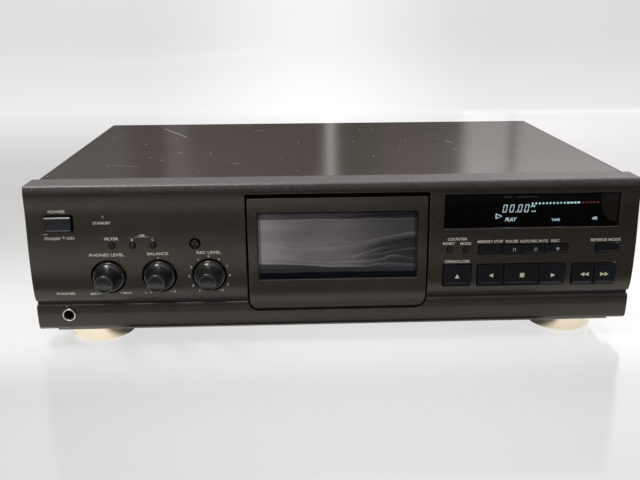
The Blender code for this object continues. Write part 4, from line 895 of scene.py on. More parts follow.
# ================================================================== plates that follow the face
def plate(part, outline, openings, front, back, zs, edge, back_zs=(), seat=None):
    """A closed plate across x and z. outline(g) and each opening(g) give their loop grown by g. seat is
    (depth function, opening function): the first opening is then a recess with a floor and a smaller hole."""
    rims = [h(r) for h, r in openings]
    support = [outline(-edge - 0.14)] + [h(r + 0.14) for h, r in openings]
    face = outline(-edge)
    xs = [p[0] for p in face]
    lines = [((min(xs) - 5, z), (max(xs) + 5, z)) for z in zs]
    pts, tris = net([face] + rims + support, lines, rims)
    used = sorted({i for t in tris for i in t})
    part.add([(x, front(z), z) for x, z in pts], tris)
    back_outer, back_holes = None, []
    for loop in borders(tris):
        ring = [pts[i] for i in loop]
        found = [k for k, s in enumerate(support[1:]) if inside(ring[0], s)]
        outward = not found
        r = edge if outward else openings[found[0]][1]
        dirs = grow_loop(pts, loop, outward)
        rings = [[(x, front(z), z) for x, z in ring]]
        for out, deep in ring_steps(r, 4):
            rings.append([(x + d[0] * out, min(front(z) + deep, back(z + d[1] * out)), z + d[1] * out)
                          for (x, z), d in zip(ring, dirs)])
        if found and found[0] == 0 and seat:
            depth, inner = seat
            rings.append([(x, depth(z), z) for x, y, z in rings[-1]])
            part.rings(rings, caps=(False, False))
            floor = [(x, z) for x, y, z in rings[-1]]
            hole = inner(0.0)
            fp, ft = net([floor, hole], [], [hole])
            part.add([(x, depth(z), z) for x, z in fp], ft)
            n = len(hole)
            part.add([(x, depth(z), z) for x, z in hole] + [(x, back(z), z) for x, z in hole],
                     [(i, (i + 1) % n, n + (i + 1) % n, n + i) for i in range(n)])
            back_holes.append(hole)
            continue
        rings.append([(x, back(z), z) for x, y, z in rings[-1]])
        part.rings(rings, caps=(False, False))
        last = [(x, z) for x, y, z in rings[-1]]
        if outward:
            back_outer = last
        else:
            back_holes.append(last)
    bp, bt = net([back_outer] + back_holes, [((min(xs) - 5, z), (max(xs) + 5, z)) for z in back_zs], back_holes)
    inner_pts = set(map(tuple, bp))
    part.add([(x, back(z), z) for x, z in bp], bt)
    return part


PIVOT = (2.8, 14.2)
BARREL = 2.6
DOOR_FRONT = [(y, z) for y, z in FACE_FINE if 37.5 < z < 94.4]
DOOR_FRONT = [(face_y(94.7), 94.7)] + DOOR_FRONT + smooth_table([(face_y(37.0), 37.0), (-2.36, 33.0), (-2.33, 29.5), (-2.25, 26.0), (-1.98, 22.8), (-1.42, 19.8), (-0.68, 17.0), (0.2, 14.2)], 1.2)
DOOR_FRONT += [(PIVOT[0] - BARREL * math.cos(math.radians(a)), PIVOT[1] - BARREL * math.sin(math.radians(a))) for a in range(15, 91, 15)]
door_front = lerp_table(DOOR_FRONT)
DOOR_BACK = [(1.3, 94.7), (1.6, 94.0), (2.6, 92.0), (2.6, 84.0), (1.4, 60.0), (1.4, 23.0), (1.7, 19.0), (3.2, 16.8)]
DOOR_BACK += [(PIVOT[0] + BARREL * math.cos(math.radians(a)), PIVOT[1] + BARREL * math.sin(math.radians(a))) for a in (60, 40, 20, 0, -20, -40, -60, -75, -90)]
door_back = lerp_table(DOOR_BACK)


def door_frame_piece():
    part = Part()
    outline = lambda g: rounded(-62.8 - g, 64.1 + g, 11.6 - g, 94.7 + g, 7.8 + g, 0.9 + g, 8)
    recess = lambda g: rounded(-56.0 - g, 57.8 + g, 35.5 - g, 84.7 + g, 0.9 + g, None, 5)
    hole = lambda g: rounded(-53.0 - g, 54.8 + g, 38.9 - g, 81.8 + g, 1.2 + g, None, 5)
    plate(part, outline, [(recess, 0.6)], door_front, door_back, [z for y, z in DOOR_FRONT[1:-1]], 0.5,
          [z for y, z in DOOR_BACK[1:-1]], seat=(lambda z: face_y(z) + 2.1, hole))
    for s, x in ((-1, -62.6), (1, 63.9)):
        part.lathe([(0, x), (1.1, x), (1.1, x + s * 4.3), (0.9, x + s * 4.6), (0, x + s * 4.6)], "X", PIVOT, 20)
    return part.build("door_moulding", DOOR, "door", ["door_frame"], angle=38.0)


door_frame_piece()


def door_pane():
    part = Part()
    outline = lambda g: rounded(-55.3 - g, 57.1 + g, 35.9 - g, 83.7 + g, 0.6 + g, None, 5)
    plate(part, outline, [], lambda z: face_y(z) + 1.05, lambda z: face_y(z) + 1.8,
          [z for y, z in FACE_FINE if 36.6 < z < 83.2], 0.15, [z for y, z in FACE_FINE if 36.6 < z < 83.2])
    return part.build("door_pane", WINDOW_SMOKE, "door", ["door_window"], angle=38.0)


door_pane()


def display_pane():
    part = Part()
    outline = lambda g: rounded(76.1 - g, 200.8 + g, 71.35 - g, 95.3 + g, 0.4 + g, None, 4)
    plate(part, outline, [], lambda z: face_y(z) + 0.55, lambda z: face_y(z) + 1.5,
          [z for y, z in FACE_FINE if 72.4 < z < 94.3], 0.15, [z for y, z in FACE_FINE if 72.4 < z < 94.3])
    return part.build("display_pane", DISPLAY_GLASS, "root", ["display_window"], angle=38.0)


display_pane()


# ================================================================== keys
def key_shape(part, box, y0, y1, side=0.4, low=1.5, low_deep=0.9, low_r=1.2, high_r=0.35, crown=0.12):
    """A key cap: rounded lower corners, small bevels at the sides and top, a broad bevel along the bottom."""
    x0, x1, z0, z1 = box
    ring = rounded(x0, x1, z0, z1, low_r, high_r, 5)
    n = len(ring)
    normals = []
    for i in range(n):
        a, b = Vector(ring[i - 1]), Vector(ring[(i + 1) % n])
        t = (b - a).normalized()
        normals.append((t.y, -t.x))
    rings = []
    share = [max(0.0, -m[1]) ** 2 for m in normals]
    inset = [side + (low - side) * s for s in share]
    deep = [side + (low_deep - side) * s for s in share]
    cx, cz = (x0 + x1) / 2, (z0 + z1) / 2
    for k in range(5):
        t = k / 4
        row = []
        for (x, z), m, i, d in zip(ring, normals, inset, deep):
            a = math.pi / 2 * t
            # the sides are rounded, and the broad bevel at the bottom is nearly flat
            flat = min(1.0, (i - side) / max(0.01, low - side))
            u = (1 - math.sin(a)) * (1 - flat) + (1 - t) * flat
            v = (1 - math.cos(a)) * (1 - flat) + t * flat
            row.append((x - m[0] * i * u, y0 + d * v, z - m[1] * i * u))
        rings.append(row)
    plateau = rings[0]
    inner = []
    for f, bow in ((0.75, 0.45), (0.4, 0.85), (0.12, 1.0)):
        inner.append([(cx + (x - cx) * f, y0 - crown * bow, cz + (z - cz) * f) for x, y, z in plateau])
    rings = inner[::-1] + rings + [[(x, y1, z) for x, z in ring]]
    part.rings(rings)


def key_front(box, y0, crown=0.12):
    return y0 - crown - 0.02


for name, box in TALL_ROW.items():
    part = Part()
    key_shape(part, box, -3.18, 9.0, 0.45, 1.45, 0.95, 1.3, 0.4)
    part.build(name + "_cap", KEY, name, [name], angle=34.0)
for name, box in LOW_ROW.items():
    part = Part()
    key_shape(part, box, -2.92, 9.0, 0.3, 0.95, 0.6, 0.6, 0.3, 0.06)
    part.build(name + "_cap", KEY, name, [name], angle=34.0)

part = Part()
key_shape(part, POWER, -3.2, 10.6, 0.35, 1.0, 0.8, 0.4, 0.35, 0.08)
part.build("power_cap", KEY, "power_button", ["power_button"], angle=34.0)
# a silver strip along the power key's top edge
part = Part()
part.slab(rounded(POWER[0] + 0.15, POWER[1] - 0.15, 83.5, 84.4, 0.2, None, 3), "XZ", -3.3, -2.6, 0.06)
part.build("power_strip", SILVER_STRIP, "power_button")
# a blue-grey strip along the power key's bottom bevel
part = Part()
part.add([(x, y, z) for x in (POWER[0] + 0.4, POWER[1] - 0.4) for y, z in ((-3.24, 75.25), (-2.72, 74.5), (-2.4, 74.6), (-2.9, 75.4))],
         [(0, 1, 2, 3), (7, 6, 5, 4), (0, 4, 5, 1), (1, 5, 6, 2), (2, 6, 7, 3), (3, 7, 4, 0)])
part.build("power_edge", BLUE_GREY_STRIP, "power_button")

for name, (x, z, r) in ROUND_BUTTONS.items():
    tip = face_y(z) - (0.8 if name == "calibrate_button" else 1.2)
    back = 9.6 if x < 0 else 8.8
    part = Part()
    k = r / 1.9
    part.lathe([(0, tip + 0.34), (0.45 * k, tip + 0.32), (0.9 * k, tip + 0.22), (1.2 * k, tip + 0.09), (1.42 * k, tip),
                (1.6 * k, tip + 0.03), (1.78 * k, tip + 0.15), (r, tip + 0.42), (r, back), (0, back)], "Y", (x, z), 36)
    part.build(name + "_cap", ROUND_KEY, name, [name], angle=40.0)

KNOB_PROFILE = [(0, 0.60), (1.4, 0.57), (2.8, 0.47), (4.0, 0.33), (4.9, 0.19), (5.3, 0.06), (5.55, 0.0), (5.85, 0.04), (6.12, 0.18),
                (6.32, 0.42), (6.42, 0.8), (6.5, 2.2), (6.6, 4.0), (6.75, 5.6), (6.98, 7.1), (7.3, 8.6), (7.72, 10.0),
                (8.25, 11.4), (8.85, 12.6), (9.3, 13.3), (9.62, 13.72), (9.74, 13.95), (9.68, 14.15), (9.6, 14.3),
                (9.62, 14.52), (9.8, 14.62), (10.3, 14.78), (10.65, 15.0), (10.84, 15.3), (10.9, 15.7), (10.9, 16.3),
                (10.78, 16.68), (10.4, 16.9), (3.0, 16.9), (3.0, 33.0), (0, 33.0)]
for name, (x, z) in KNOBS.items():
    part = Part()
    part.lathe([(r, -18.6 + d) for r, d in KNOB_PROFILE], "Y", (x, z), 96)
    part.build(name + "_turned", KNOB, name, [name], angle=40.0, materials=[KNOB, KNOB_FACE],
               pick=lambda c, n, x=x, z=z: 1 if (c - place(x, c.y / MM - Y_SHIFT, z)).length < 4.9 * MM and n.y < -0.9 else 0)

# ================================================================== socket, feet, screws
part = Part()
px, pz = PHONES
part.lathe([(3.72, -1.5), (3.8, -1.74), (3.95, -1.86), (4.15, -1.9), (4.4, -1.84), (4.6, -1.68), (4.7, -1.4), (4.7, -0.45),
            (3.98, -0.4), (3.98, 6.3), (3.72, 6.3), (3.72, -1.5)], "Y", PHONES, 48)
part.build("phones_ring", NICKEL, "root", ["phones_socket"], angle=40.0)
part = Part()
part.lathe([(3.64, -1.15), (3.64, 22.0), (0, 22.0), (0, 21.0), (3.18, 21.0), (3.18, -1.0), (3.26, -1.2), (3.4, -1.26), (3.56, -1.24), (3.64, -1.15)], "Y", PHONES, 48)
part.slab(rounded(px - 6.5, px + 6.5, pz - 7.6, pz + 7.6, 0.5, None, 3), "XZ", 6.4, 32.0, 0.3)
part.build("phones_body", BLACK, "root", angle=40.0)

for name, cx, cy in (("foot_front_left", -177.0, 35.0), ("foot_rear_left", -177.0, 226.0),
                     ("foot_front_right", 177.0, 35.0), ("foot_rear_right", 177.0, 226.0)):
    part = Part()
    h = -16.0
    part.lathe([(0, h + 0.9), (21.9, h + 0.9), (22.0, h + 0.45), (22.5, h + 0.4), (23.05, h + 0.75), (23.9, h + 1.75), (24.0, h + 2.1),
                (24.0, h + 12.6), (23.9, h + 12.95), (23.3, h + 13.6), (22.9, h + 13.8), (22.4, h + 13.9), (0, h + 13.9)], "Z", (cx, cy), 96)
    part.build(name + "_ring", GOLD, "root", [name], angle=32.0)
    part = Part()
    part.lathe([(0, h), (20.6, h), (21.2, h + 0.15), (21.4, h + 0.5), (21.4, h + 0.85), (0, h + 0.85)], "Z", (cx, cy), 64)
    part.build(name + "_pad", FELT, "root", angle=40.0)


def screw(name, centre, direction, r=4.3, height=1.7, washer=None, mat=None, replaced=()):
    """A domed screw with a cross recess. direction is the axis it faces, such as (1, 0, 0)."""
    d = Vector(direction)
    u = Vector((0, 0, 1)) if abs(d.z) < 0.5 else Vector((1, 0, 0))
    v = d.cross(u).normalized()
    part = Part()
    a, b = 0.16 * r, 0.56 * r
    cross = [(a, a), (b, a), (b, -a), (a, -a), (a, -b), (-a, -b), (-a, -a), (-b, -a), (-b, a), (-a, a), (-a, b), (a, b)]
    cross = [(p[0] * math.cos(0.4) - p[1] * math.sin(0.4), p[0] * math.sin(0.4) + p[1] * math.cos(0.4)) for p in cross]
    top = circle(0, 0, r * 0.86, 32)
    mid = circle(0, 0, r * 0.66, 32)
    dome = lambda p: height * (1 - 0.26 * ((p[0] ** 2 + p[1] ** 2) / (r * r)))
    sp, st = net([top, mid, cross], [], [cross])
    at = lambda p, h: Vector(centre) + u * p[0] + v * p[1] + d * h
    part.add([at(p, dome(p)) for p in sp], st)
    rings = [[at(p, dome(p)) for p in top]]
    for f, h in ((0.93, 0.66), (0.98, 0.5), (1.0, 0.3), (1.0, 0.0)):
        rings.append([at((p[0] * f / 0.86, p[1] * f / 0.86), height * h) for p in top])
    part.rings(rings, caps=(False, True))
    part.rings([[at(p, dome(p)) for p in cross], [at((p[0] * 0.8, p[1] * 0.8), height * 0.25) for p in cross]], caps=(False, True))
    part.build(name, mat or SCREW, "root", list(replaced), angle=35.0)


for side, sx in (("left", -1), ("right", 1)):
    for where, y in (("front", 66.0), ("rear", 214.0)):
        screw(f"cover_screw_head_{where}_{side}", (sx * 211.05, y, 20.0), (sx, 0, 0), 4.2, 1.55,
              replaced=[f"cover_screw_{where}_{side}"])
for i, (x, z) in enumerate(((-200.0, 96.0), (-70.0, 98.0), (70.0, 98.0), (200.0, 96.0), (-200.0, 10.0), (-70.0, 8.0),
                            (70.0, 8.0), (200.0, 10.0), (134.0, 62.0))):
    if i == 8:
        screw("socket_screw", (134.0, 257.45, 62.0), (0, 1, 0), 2.6, 1.2)
    else:
        screw(f"rear_screw_{i}", (x, 259.05, z), (0, 1, 0), 3.0, 1.3)


# ================================================================== cover
def cover():
    part = Part()
    def bend(x, top, r):
        near = [(-x, top - 5.0), (-x, top), (5.0 - x, top), (x - 5.0, top), (x, top), (x, top - 5.0)]
        return fillet([(-x, 0.6), (-x, 1.4)] + near + [(x, 1.4), (x, 0.6)], [0, 0, 0, r, 0, 0, r, 0, 0, 0], 8)
    outer, inner = bend(211.0, PANEL_H, 2.2), bend(210.0, PANEL_H - 1.0, 1.2)
    loop = outer + inner[::-1]
    rims = []
    for d, y in ((0.18, 22.2), (0.05, 22.25), (0.0, 22.4), (0.0, 22.9), (0.0, 60.0), (0.0, 140.0), (0.0, 220.0), (0.0, 259.1), (0.0, 259.6), (0.05, 259.75), (0.18, 259.8)):
        ring = offset(loop, -d) if d else loop
        rims.append([(x, y, z) for x, z in ring])
    part.rings(rims)
    part.build("cover_sheet", COVER, "root", ["top_cover"], angle=30.0)


cover()

# ================================================================== line sockets
part = Part()
part.slab(rounded(109.0, 159.0, 46.0, 78.0, 1.2, None, 4), "XZ", 243.0, 257.4, 0.4)
part.build("socket_block", BLACK, "root", ["audio_sockets"], angle=35.0)
for x, col in ((118.0, "l"), (150.0, "r")):
    for z, row, mat in ((69.0, "top", RCA_WHITE), (55.0, "low", RCA_RED)):
        part = Part()
        part.lathe([(4.2, 257.4), (5.3, 257.4), (5.3, 259.9), (5.1, 260.3), (4.7, 260.4), (4.2, 260.2), (4.2, 257.4)], "Y", (x, z), 36)
        part.build(f"socket_collar_{row}_{col}", mat, "root", angle=40.0)
        part = Part()
        part.lathe([(1.75, 258.0), (4.15, 258.0), (4.15, 267.1), (4.0, 267.5), (3.7, 267.6), (3.35, 267.5), (3.3, 267.1), (3.3, 261.0),
                    (1.75, 261.0), (1.75, 258.0)], "Y", (x, z), 36)
        part.build(f"socket_barrel_{row}_{col}", NICKEL, "root", angle=40.0)

# ================================================================== lettering
TEXTS = bpy.data.collections.new("texts")


def glyphs(text, slant, bold):
    data = bpy.data.curves.new("t", "FONT")
    data.body, data.size, data.resolution_u = text, 1.0, 3
    data.align_x = "CENTER"
    data.extrude = 0.5
    data.offset = bold
    data.shear = slant
    obj = bpy.data.objects.new("t", data)
    bpy.context.scene.collection.objects.link(obj)
    bpy.context.view_layer.update()
    mesh = bpy.data.meshes.new_from_object(obj.evaluated_get(bpy.context.evaluated_depsgraph_get()))
    verts = [tuple(v.co) for v in mesh.vertices]
    faces = [tuple(p.vertices) for p in mesh.polygons]
    bpy.data.objects.remove(obj)
    bpy.data.meshes.remove(mesh)
    bpy.data.curves.remove(data)
    return verts, faces


CAP_SPAN = {}


def letters(text, x, z, width, cap=1.9, y_at=None, thick=0.05, slant=0.0, bold=0.018):
    """General lettering as thin closed solids centred on (x, z) and laid on the face; cap is a capital's height."""
    if bold not in CAP_SPAN:
        ys = [v[1] for v in glyphs("H", 0.0, bold)[0]]
        CAP_SPAN[bold] = (min(ys), max(ys))
    low, high = CAP_SPAN[bold]
    found, faces = glyphs(text, slant, bold)
    xs = [v[0] for v in found]
    fx, fz = width / (max(xs) - min(xs)), cap / (high - low)
    mx, my = (max(xs) + min(xs)) / 2, (low + high) / 2
    y_at = y_at or face_y
    verts = []
    for vx, vy, vw in found:
        px, pz = x + (vx - mx) * fx, z + (vy - my) * fz
        verts.append((px, y_at(pz) + (thick * 0.6 if vw < 0 else -thick * 0.4), pz))
    return verts, faces


def mark(part, outline, y_at=None, thick=0.05):
    y_at = y_at or face_y
    part.rings([[(x, y_at(z) - thick * 0.4, z) for x, z in outline], [(x, y_at(z) + thick * 0.6, z) for x, z in outline]])


def dot(part, x, z, r=0.45, y_at=None):
    mark(part, circle(x, z, r, 14), y_at)


legends = Part()
for text, x, z, w, cap in (("POWER", -193.0, 88.3, 11.7, 1.9), ("STANDBY", -162.9, 79.9, 12.3, 1.75),
                           ("FILTER", -157.1, 68.6, 9.6, 1.8), ("NR", -135.8, 70.5, 4.2, 1.8), ("B", -143.0, 67.8, 1.25, 1.7),
                           ("C", -128.8, 67.8, 1.35, 1.7), ("PHONES LEVEL", -161.2, 57.1, 24.1, 1.9),
                           ("BALANCE", -125.8, 57.4, 14.7, 1.9), ("REC LEVEL", -90.2, 57.7, 17.0, 1.9),
                           ("PHONES", -192.4, 28.4, 12.8, 1.75), ("MIN", -172.7, 27.8, 5.1, 1.6), ("MAX", -149.2, 28.2, 6.1, 1.6),
                           ("L", -136.0, 28.0, 1.2, 1.6), ("R", -115.5, 28.5, 1.5, 1.6),
                           ("COUNTER", 85.6, 64.2, 14.0, 1.8), ("RESET", 79.6, 61.1, 8.7, 1.7), ("MODE", 91.5, 60.9, 7.6, 1.7),
                           ("MEMORY STOP", 109.1, 62.1, 18.2, 1.8), ("PAUSE", 124.6, 62.0, 8.7, 1.8),
                           ("AUTO REC MUTE", 140.5, 61.9, 20.2, 1.8), ("REC", 155.9, 62.0, 6.2, 1.8),
                           ("REVERSE MODE", 192.4, 62.1, 21.6, 1.8), ("OPEN/CLOSE", 86.0, 47.7, 17.9, 1.9),
                           ("STANDBY", -197.2, 69.4, 11.3, 1.75), ("/ON", -185.2, 69.5, 5.4, 1.75)):
    legends.add(*letters(text, x, z - 0.6, w, cap * 1.08))
for n, (x, z) in enumerate(((-98.0, 28.8), (-102.5, 32.9), (-104.8, 40.2), (-103.0, 47.0), (-98.0, 52.4), (-90.5, 54.8),
                            (-83.4, 52.6), (-77.8, 47.3), (-76.2, 40.4), (-77.9, 33.3), (-82.1, 28.8))):
    legends.add(*letters(str(n), x, z - 0.5, 0.75 if n == 1 else (2.3 if n == 10 else 1.15), 1.7))
for x, z in ((-168.6, 28.0), (-153.9, 28.0), (-132.6, 28.0), (-118.2, 28.4), (-125.7, 54.2)):
    dot(legends, x, z - 0.5, 0.5)
dot(legends, -193.7, 17.2, 0.35, lambda z: front_y(z))
mark(legends, [(-141.0, 68.95), (-130.6, 68.95), (-130.6, 69.15), (-141.0, 69.15)])
# the standby symbol: an open ring with a bar
ring = [(-189.7 + 0.85 * math.sin(math.radians(a)), 69.4 + 0.85 * math.cos(math.radians(a))) for a in range(35, 326, 15)]
ring += [(-189.7 + 0.6 * math.sin(math.radians(a)), 69.4 + 0.6 * math.cos(math.radians(a))) for a in range(325, 34, -15)]
mark(legends, ring)
mark(legends, [(-189.83, 69.5), (-189.57, 69.5), (-189.57, 70.5), (-189.83, 70.5)])
mark(legends, [(-203.7, 71.75), (-200.5, 71.75), (-200.5, 72.1), (-203.7, 72.1)])
legends.build("panel_legends", LEGEND, "root", angle=40.0)

# the rear's words are read from behind, so they are laid out mirrored
part = Part()
for text, x, z, w, cap in (("LINE IN", 134.0, 70.6, 12.6, 2.3), ("LINE OUT", 134.0, 52.0, 14.6, 2.3), ("L", 150.0, 81.4, 1.6, 2.3),
                           ("R", 118.0, 81.4, 1.9, 2.3), ("AC IN", -172.0, 37.6, 9.2, 2.3)):
    depth = 259.0
    verts, faces = letters(text, 0.0, 0.0, w, cap, lambda q: 0.0, 0.06)
    part.add([(x - vx, depth - vy, z + vz) for vx, vy, vz in verts], faces)
part.build("rear_legends", LEGEND, "root", angle=40.0)

for key, shapes in {
    "open_close_button": [[(84.7, 34.5), (88.0, 34.5), (86.35, 37.6)]],
    "reverse_play_button": [[(109.4, 36.2), (112.5, 34.6), (112.5, 37.8)]],
    "stop_button": [[(132.0, 34.4), (135.1, 34.4), (135.1, 37.6), (132.0, 37.6)]],
    "forward_play_button": [[(154.5, 34.0), (157.6, 35.6), (154.5, 37.2)]],
    "rewind_button": [[(176.0, 35.9), (179.1, 34.4), (179.1, 37.4)], [(179.15, 35.9), (182.3, 34.4), (182.3, 37.4)]],
    "fast_forward_button": [[(190.7, 34.2), (193.8, 35.7), (190.7, 37.2)], [(193.85, 34.2), (197.0, 35.7), (193.85, 37.2)]],
}.items():
    part = Part()
    for shape in shapes:
        mark(part, shape, lambda z: -3.27, 0.08)
    part.build(key + "_symbol", SYMBOL, key)
part = Part()
for x in (125.7, 127.0):
    mark(part, [(x, 54.4), (x + 0.55, 54.4), (x + 0.55, 56.6), (x, 56.6)], lambda z: -2.965, 0.06)
part.build("pause_symbol", SYMBOL_DIM, "pause_button")
part = Part()
ring = circle(142.0, 55.5, 1.15, 24) + [(142.0 + 1.15, 55.5)] + [(142.0 + 0.8 * math.cos(-2 * math.pi * i / 24), 55.5 + 0.8 * math.sin(-2 * math.pi * i / 24)) for i in range(25)]
part.lathe([(0.75, -2.99), (1.15, -2.99), (1.15, -2.9), (0.75, -2.9), (0.75, -2.99)], "Y", (142.0, 55.5), 28)
part.build("mute_symbol", SYMBOL_DIM, "rec_mute_button")
part = Part()
part.lathe([(0, -2.99), (1.1, -2.99), (1.1, -2.9), (0, -2.9)], "Y", (157.8, 55.6), 28)
part.build("record_symbol", SYMBOL_DIM, "record_button")

# ================================================================== display
CAM = (-0.03225, -0.62339, 0.24186)
CAM_MM = (CAM[0] / MM, CAM[1] / MM - Y_SHIFT, CAM[2] / MM - Z_SHIFT)
TUBE_Y = 3.95


def behind(x, z, y=TUBE_Y):
    """Where a point that shows at (x, z) on the face lies on the plane at y behind it."""
    f = (y - CAM_MM[1]) / (face_y(z) - CAM_MM[1])
    return CAM_MM[0] + (x - CAM_MM[0]) * f, CAM_MM[2] + (z - CAM_MM[2]) * f


def lit(part, outline, y=TUBE_Y):
    spots = [behind(x, z, y) for x, z in outline]
    part.rings([[(x, y - 0.04, z) for x, z in spots], [(x, y + 0.1, z) for x, z in spots]])


def lit_text(part, text, x, z, w, cap, slant=0.0):
    verts, faces = letters(text, 0.0, 0.0, w, cap, lambda q: 0.0, 0.14, slant, 0.028)
    bx, bz = behind(x, z)
    part.add([(bx + vx * 1.01, TUBE_Y + vy, bz + vz * 1.01) for vx, vy, vz in verts], faces)


SEGMENTS = {"0": "abcdef", "1": "bc", "2": "abdeg", "3": "abcdg"}


def digit(part, x, z, w, h, which="abcdef", t=0.60, lean=0.16):
    """A leaning seven-segment figure centred on (x, z)."""
    s = lambda px, pz: (x + px + lean * pz, z + pz)
    a, b, g = w / 2, h / 2, 0.12
    bars = {"a": [(-a + g, b), (a - g, b), (a - t - g, b - t), (-a + t + g, b - t)],
            "d": [(-a + g, -b), (a - g, -b), (a - t - g, -b + t), (-a + t + g, -b + t)],
            "f": [(-a, b - g), (-a + t, b - t - g), (-a + t, g + t * 0.3), (-a, g)],
            "b": [(a, b - g), (a - t, b - t - g), (a - t, g + t * 0.3), (a, g)],
            "e": [(-a, -b + g), (-a + t, -b + t + g), (-a + t, -g - t * 0.3), (-a, -g)],
            "c": [(a, -b + g), (a - t, -b + t + g), (a - t, -g - t * 0.3), (a, -g)],
            "g": [(-a + t, t / 2), (a - t, t / 2), (a - t, -t / 2), (-a + t, -t / 2)]}
    for k in which:
        lit(part, [s(*p) for p in bars[k]])


white = Part()
for x in (118.5, 123.4, 129.2, 134.0):
    digit(white, x, 85.1, 2.9, 5.6)
lit(white, circle(126.2, 82.6, 0.42, 10))
lit(white, [(112.0, 77.9), (112.0, 81.5), (112.7, 81.5), (112.7, 77.9)])
lit(white, [(112.72, 81.5), (116.6, 79.9), (116.2, 79.5), (112.72, 80.9)])
lit(white, [(112.72, 77.9), (116.6, 79.45), (116.2, 79.45), (112.72, 78.5)])
lit_text(white, "PLAY", 123.0, 77.3, 8.4, 2.7, 0.25)
lit(white, circle(137.9, 82.9, 0.55, 10))
lit(white, [(139.0, 82.5), (140.4, 82.5), (140.4, 83.3), (139.0, 83.3)])
lit_text(white, "TAPE", 155.1, 76.5, 6.0, 1.7)
lit_text(white, "dB", 183.1, 77.3, 3.7, 2.0)
white.build("display_figures", LIT_WHITE, "root", angle=40.0)
cyan = Part()
for i in range(14):
    x = 137.9 + i * 2.53
    half = 0.62 if i < 10 else 0.90
    lit(cyan, rounded(x - half, x + half, 87.8 + i * 0.02, 89.15 + i * 0.02, 0.4, None, 3))
lit(cyan, [(136.5, 86.0), (137.6, 86.0), (138.9, 87.4), (138.3, 87.7)])
lit(cyan, [(138.6, 85.9), (139.4, 85.9), (139.9, 87.2), (139.3, 87.2)])
cyan.build("display_level_bars", LIT_CYAN, "root", angle=40.0)
red = Part()
for i in range(5):
    x = 173.9 + i * 2.62
    lit(red, rounded(x - 0.65, x + 0.65, 88.2, 89.15, 0.4, None, 3))
red.build("display_peak_bars", LIT_RED, "root", angle=40.0)
dim = Part()
for i, x in enumerate((117.8, 119.6, 121.2, 122.6, 127.0, 128.6, 130.4, 132.4, 134.2, 136.0, 138.2, 140.8)):
    lit(dim, rounded(x - 0.42, x + 0.42, 93.1, 93.75, 0.2, None, 2))
for x in (118.0, 120.2, 122.8, 125.0, 153.2, 155.6, 157.8):
    lit(dim, rounded(x - 0.7, x + 0.7, 72.35, 72.75, 0.15, None, 2))
dim.build("display_scale", LIT_DIM, "root", angle=40.0)

part = Part()
outline = lambda g: rounded(75.4 - g, 201.4 + g, 70.9 - g, 95.8 + g, 0.5 + g, None, 4)
opening = lambda g: rounded(85.2 - g, 187.0 + g, 73.6 - g, 93.6 + g, 1.2 + g, None, 5)
plate(part, outline, [(opening, 0.3)], lambda z: 3.05, lambda z: 3.8, [], 0.2)
part.build("display_mask", BLACK, "root", angle=38.0)
# a pale glowing arc behind the right end of the display glass: painted light
part = Part()
arc = [(187.6, 94.4)] + [(187.6 + 11.4 * (1 - math.cos(math.radians(a))) , 94.4 - 20.6 * math.sin(math.radians(a))) for a in range(8, 86, 7)]
part.rings([[(x, 2.55, z) for x, z in arc + [(199.9, 73.8), (200.6, 74.2), (200.6, 94.4)]],
            [(x, 3.0, z) for x, z in arc + [(199.9, 73.8), (200.6, 74.2), (200.6, 94.4)]]])
part.build("display_glowing_arc", DISPLAY_GLOW, "root", angle=38.0)

# ================================================================== the CAD nodes that stay
KEEP = {"chassis": CHASSIS, "rear_panel": REAR, "mains_inlet": BLACK, "transformer": LAMINATIONS, "main_board": BOARD,
        "display_board": BOARD, "level_board": BOARD, "door_damper": BLACK, "mechanism_plate": MECHANISM,
        "capstan_motor": STEEL, "drive_belt": RUBBER, "cassette_holder": HOLDER, "damper_gear": WHITE,
        "head_carriage": ZINC, "tape_head": NICKEL, "flywheel_left": STEEL, "flywheel_right": STEEL,
        "motor_pulley": WHITE, "reel_hub_left": WHITE, "reel_hub_right": WHITE, "pinch_roller_left": RUBBER,
        "pinch_roller_right": RUBBER, "display_tube": TUBE, "standby_lamp": LAMP}
for name, mat in KEEP.items():
    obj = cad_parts[name]
    obj.data.materials.clear()
    obj.data.materials.append(mat)
    obj.data.shade_smooth()
    obj.data.set_sharp_from_angle(angle=math.radians(30))
    if name not in ("damper_gear", "drive_belt", "display_tube", "standby_lamp", "flywheel_left", "flywheel_right"):
        bevel = obj.modifiers.new("edges", "BEVEL")
        bevel.width = 0.00018 if name not in ("transformer", "capstan_motor") else 0.0006
        bevel.segments = 2
        bevel.limit_method = "ANGLE"
        bevel.angle_limit = math.radians(50)
        bevel.harden_normals = False

# ================================================================== stage, light, camera
bpy.context.scene.view_settings.view_transform = "Standard"
bpy.context.scene.view_settings.look = "None"


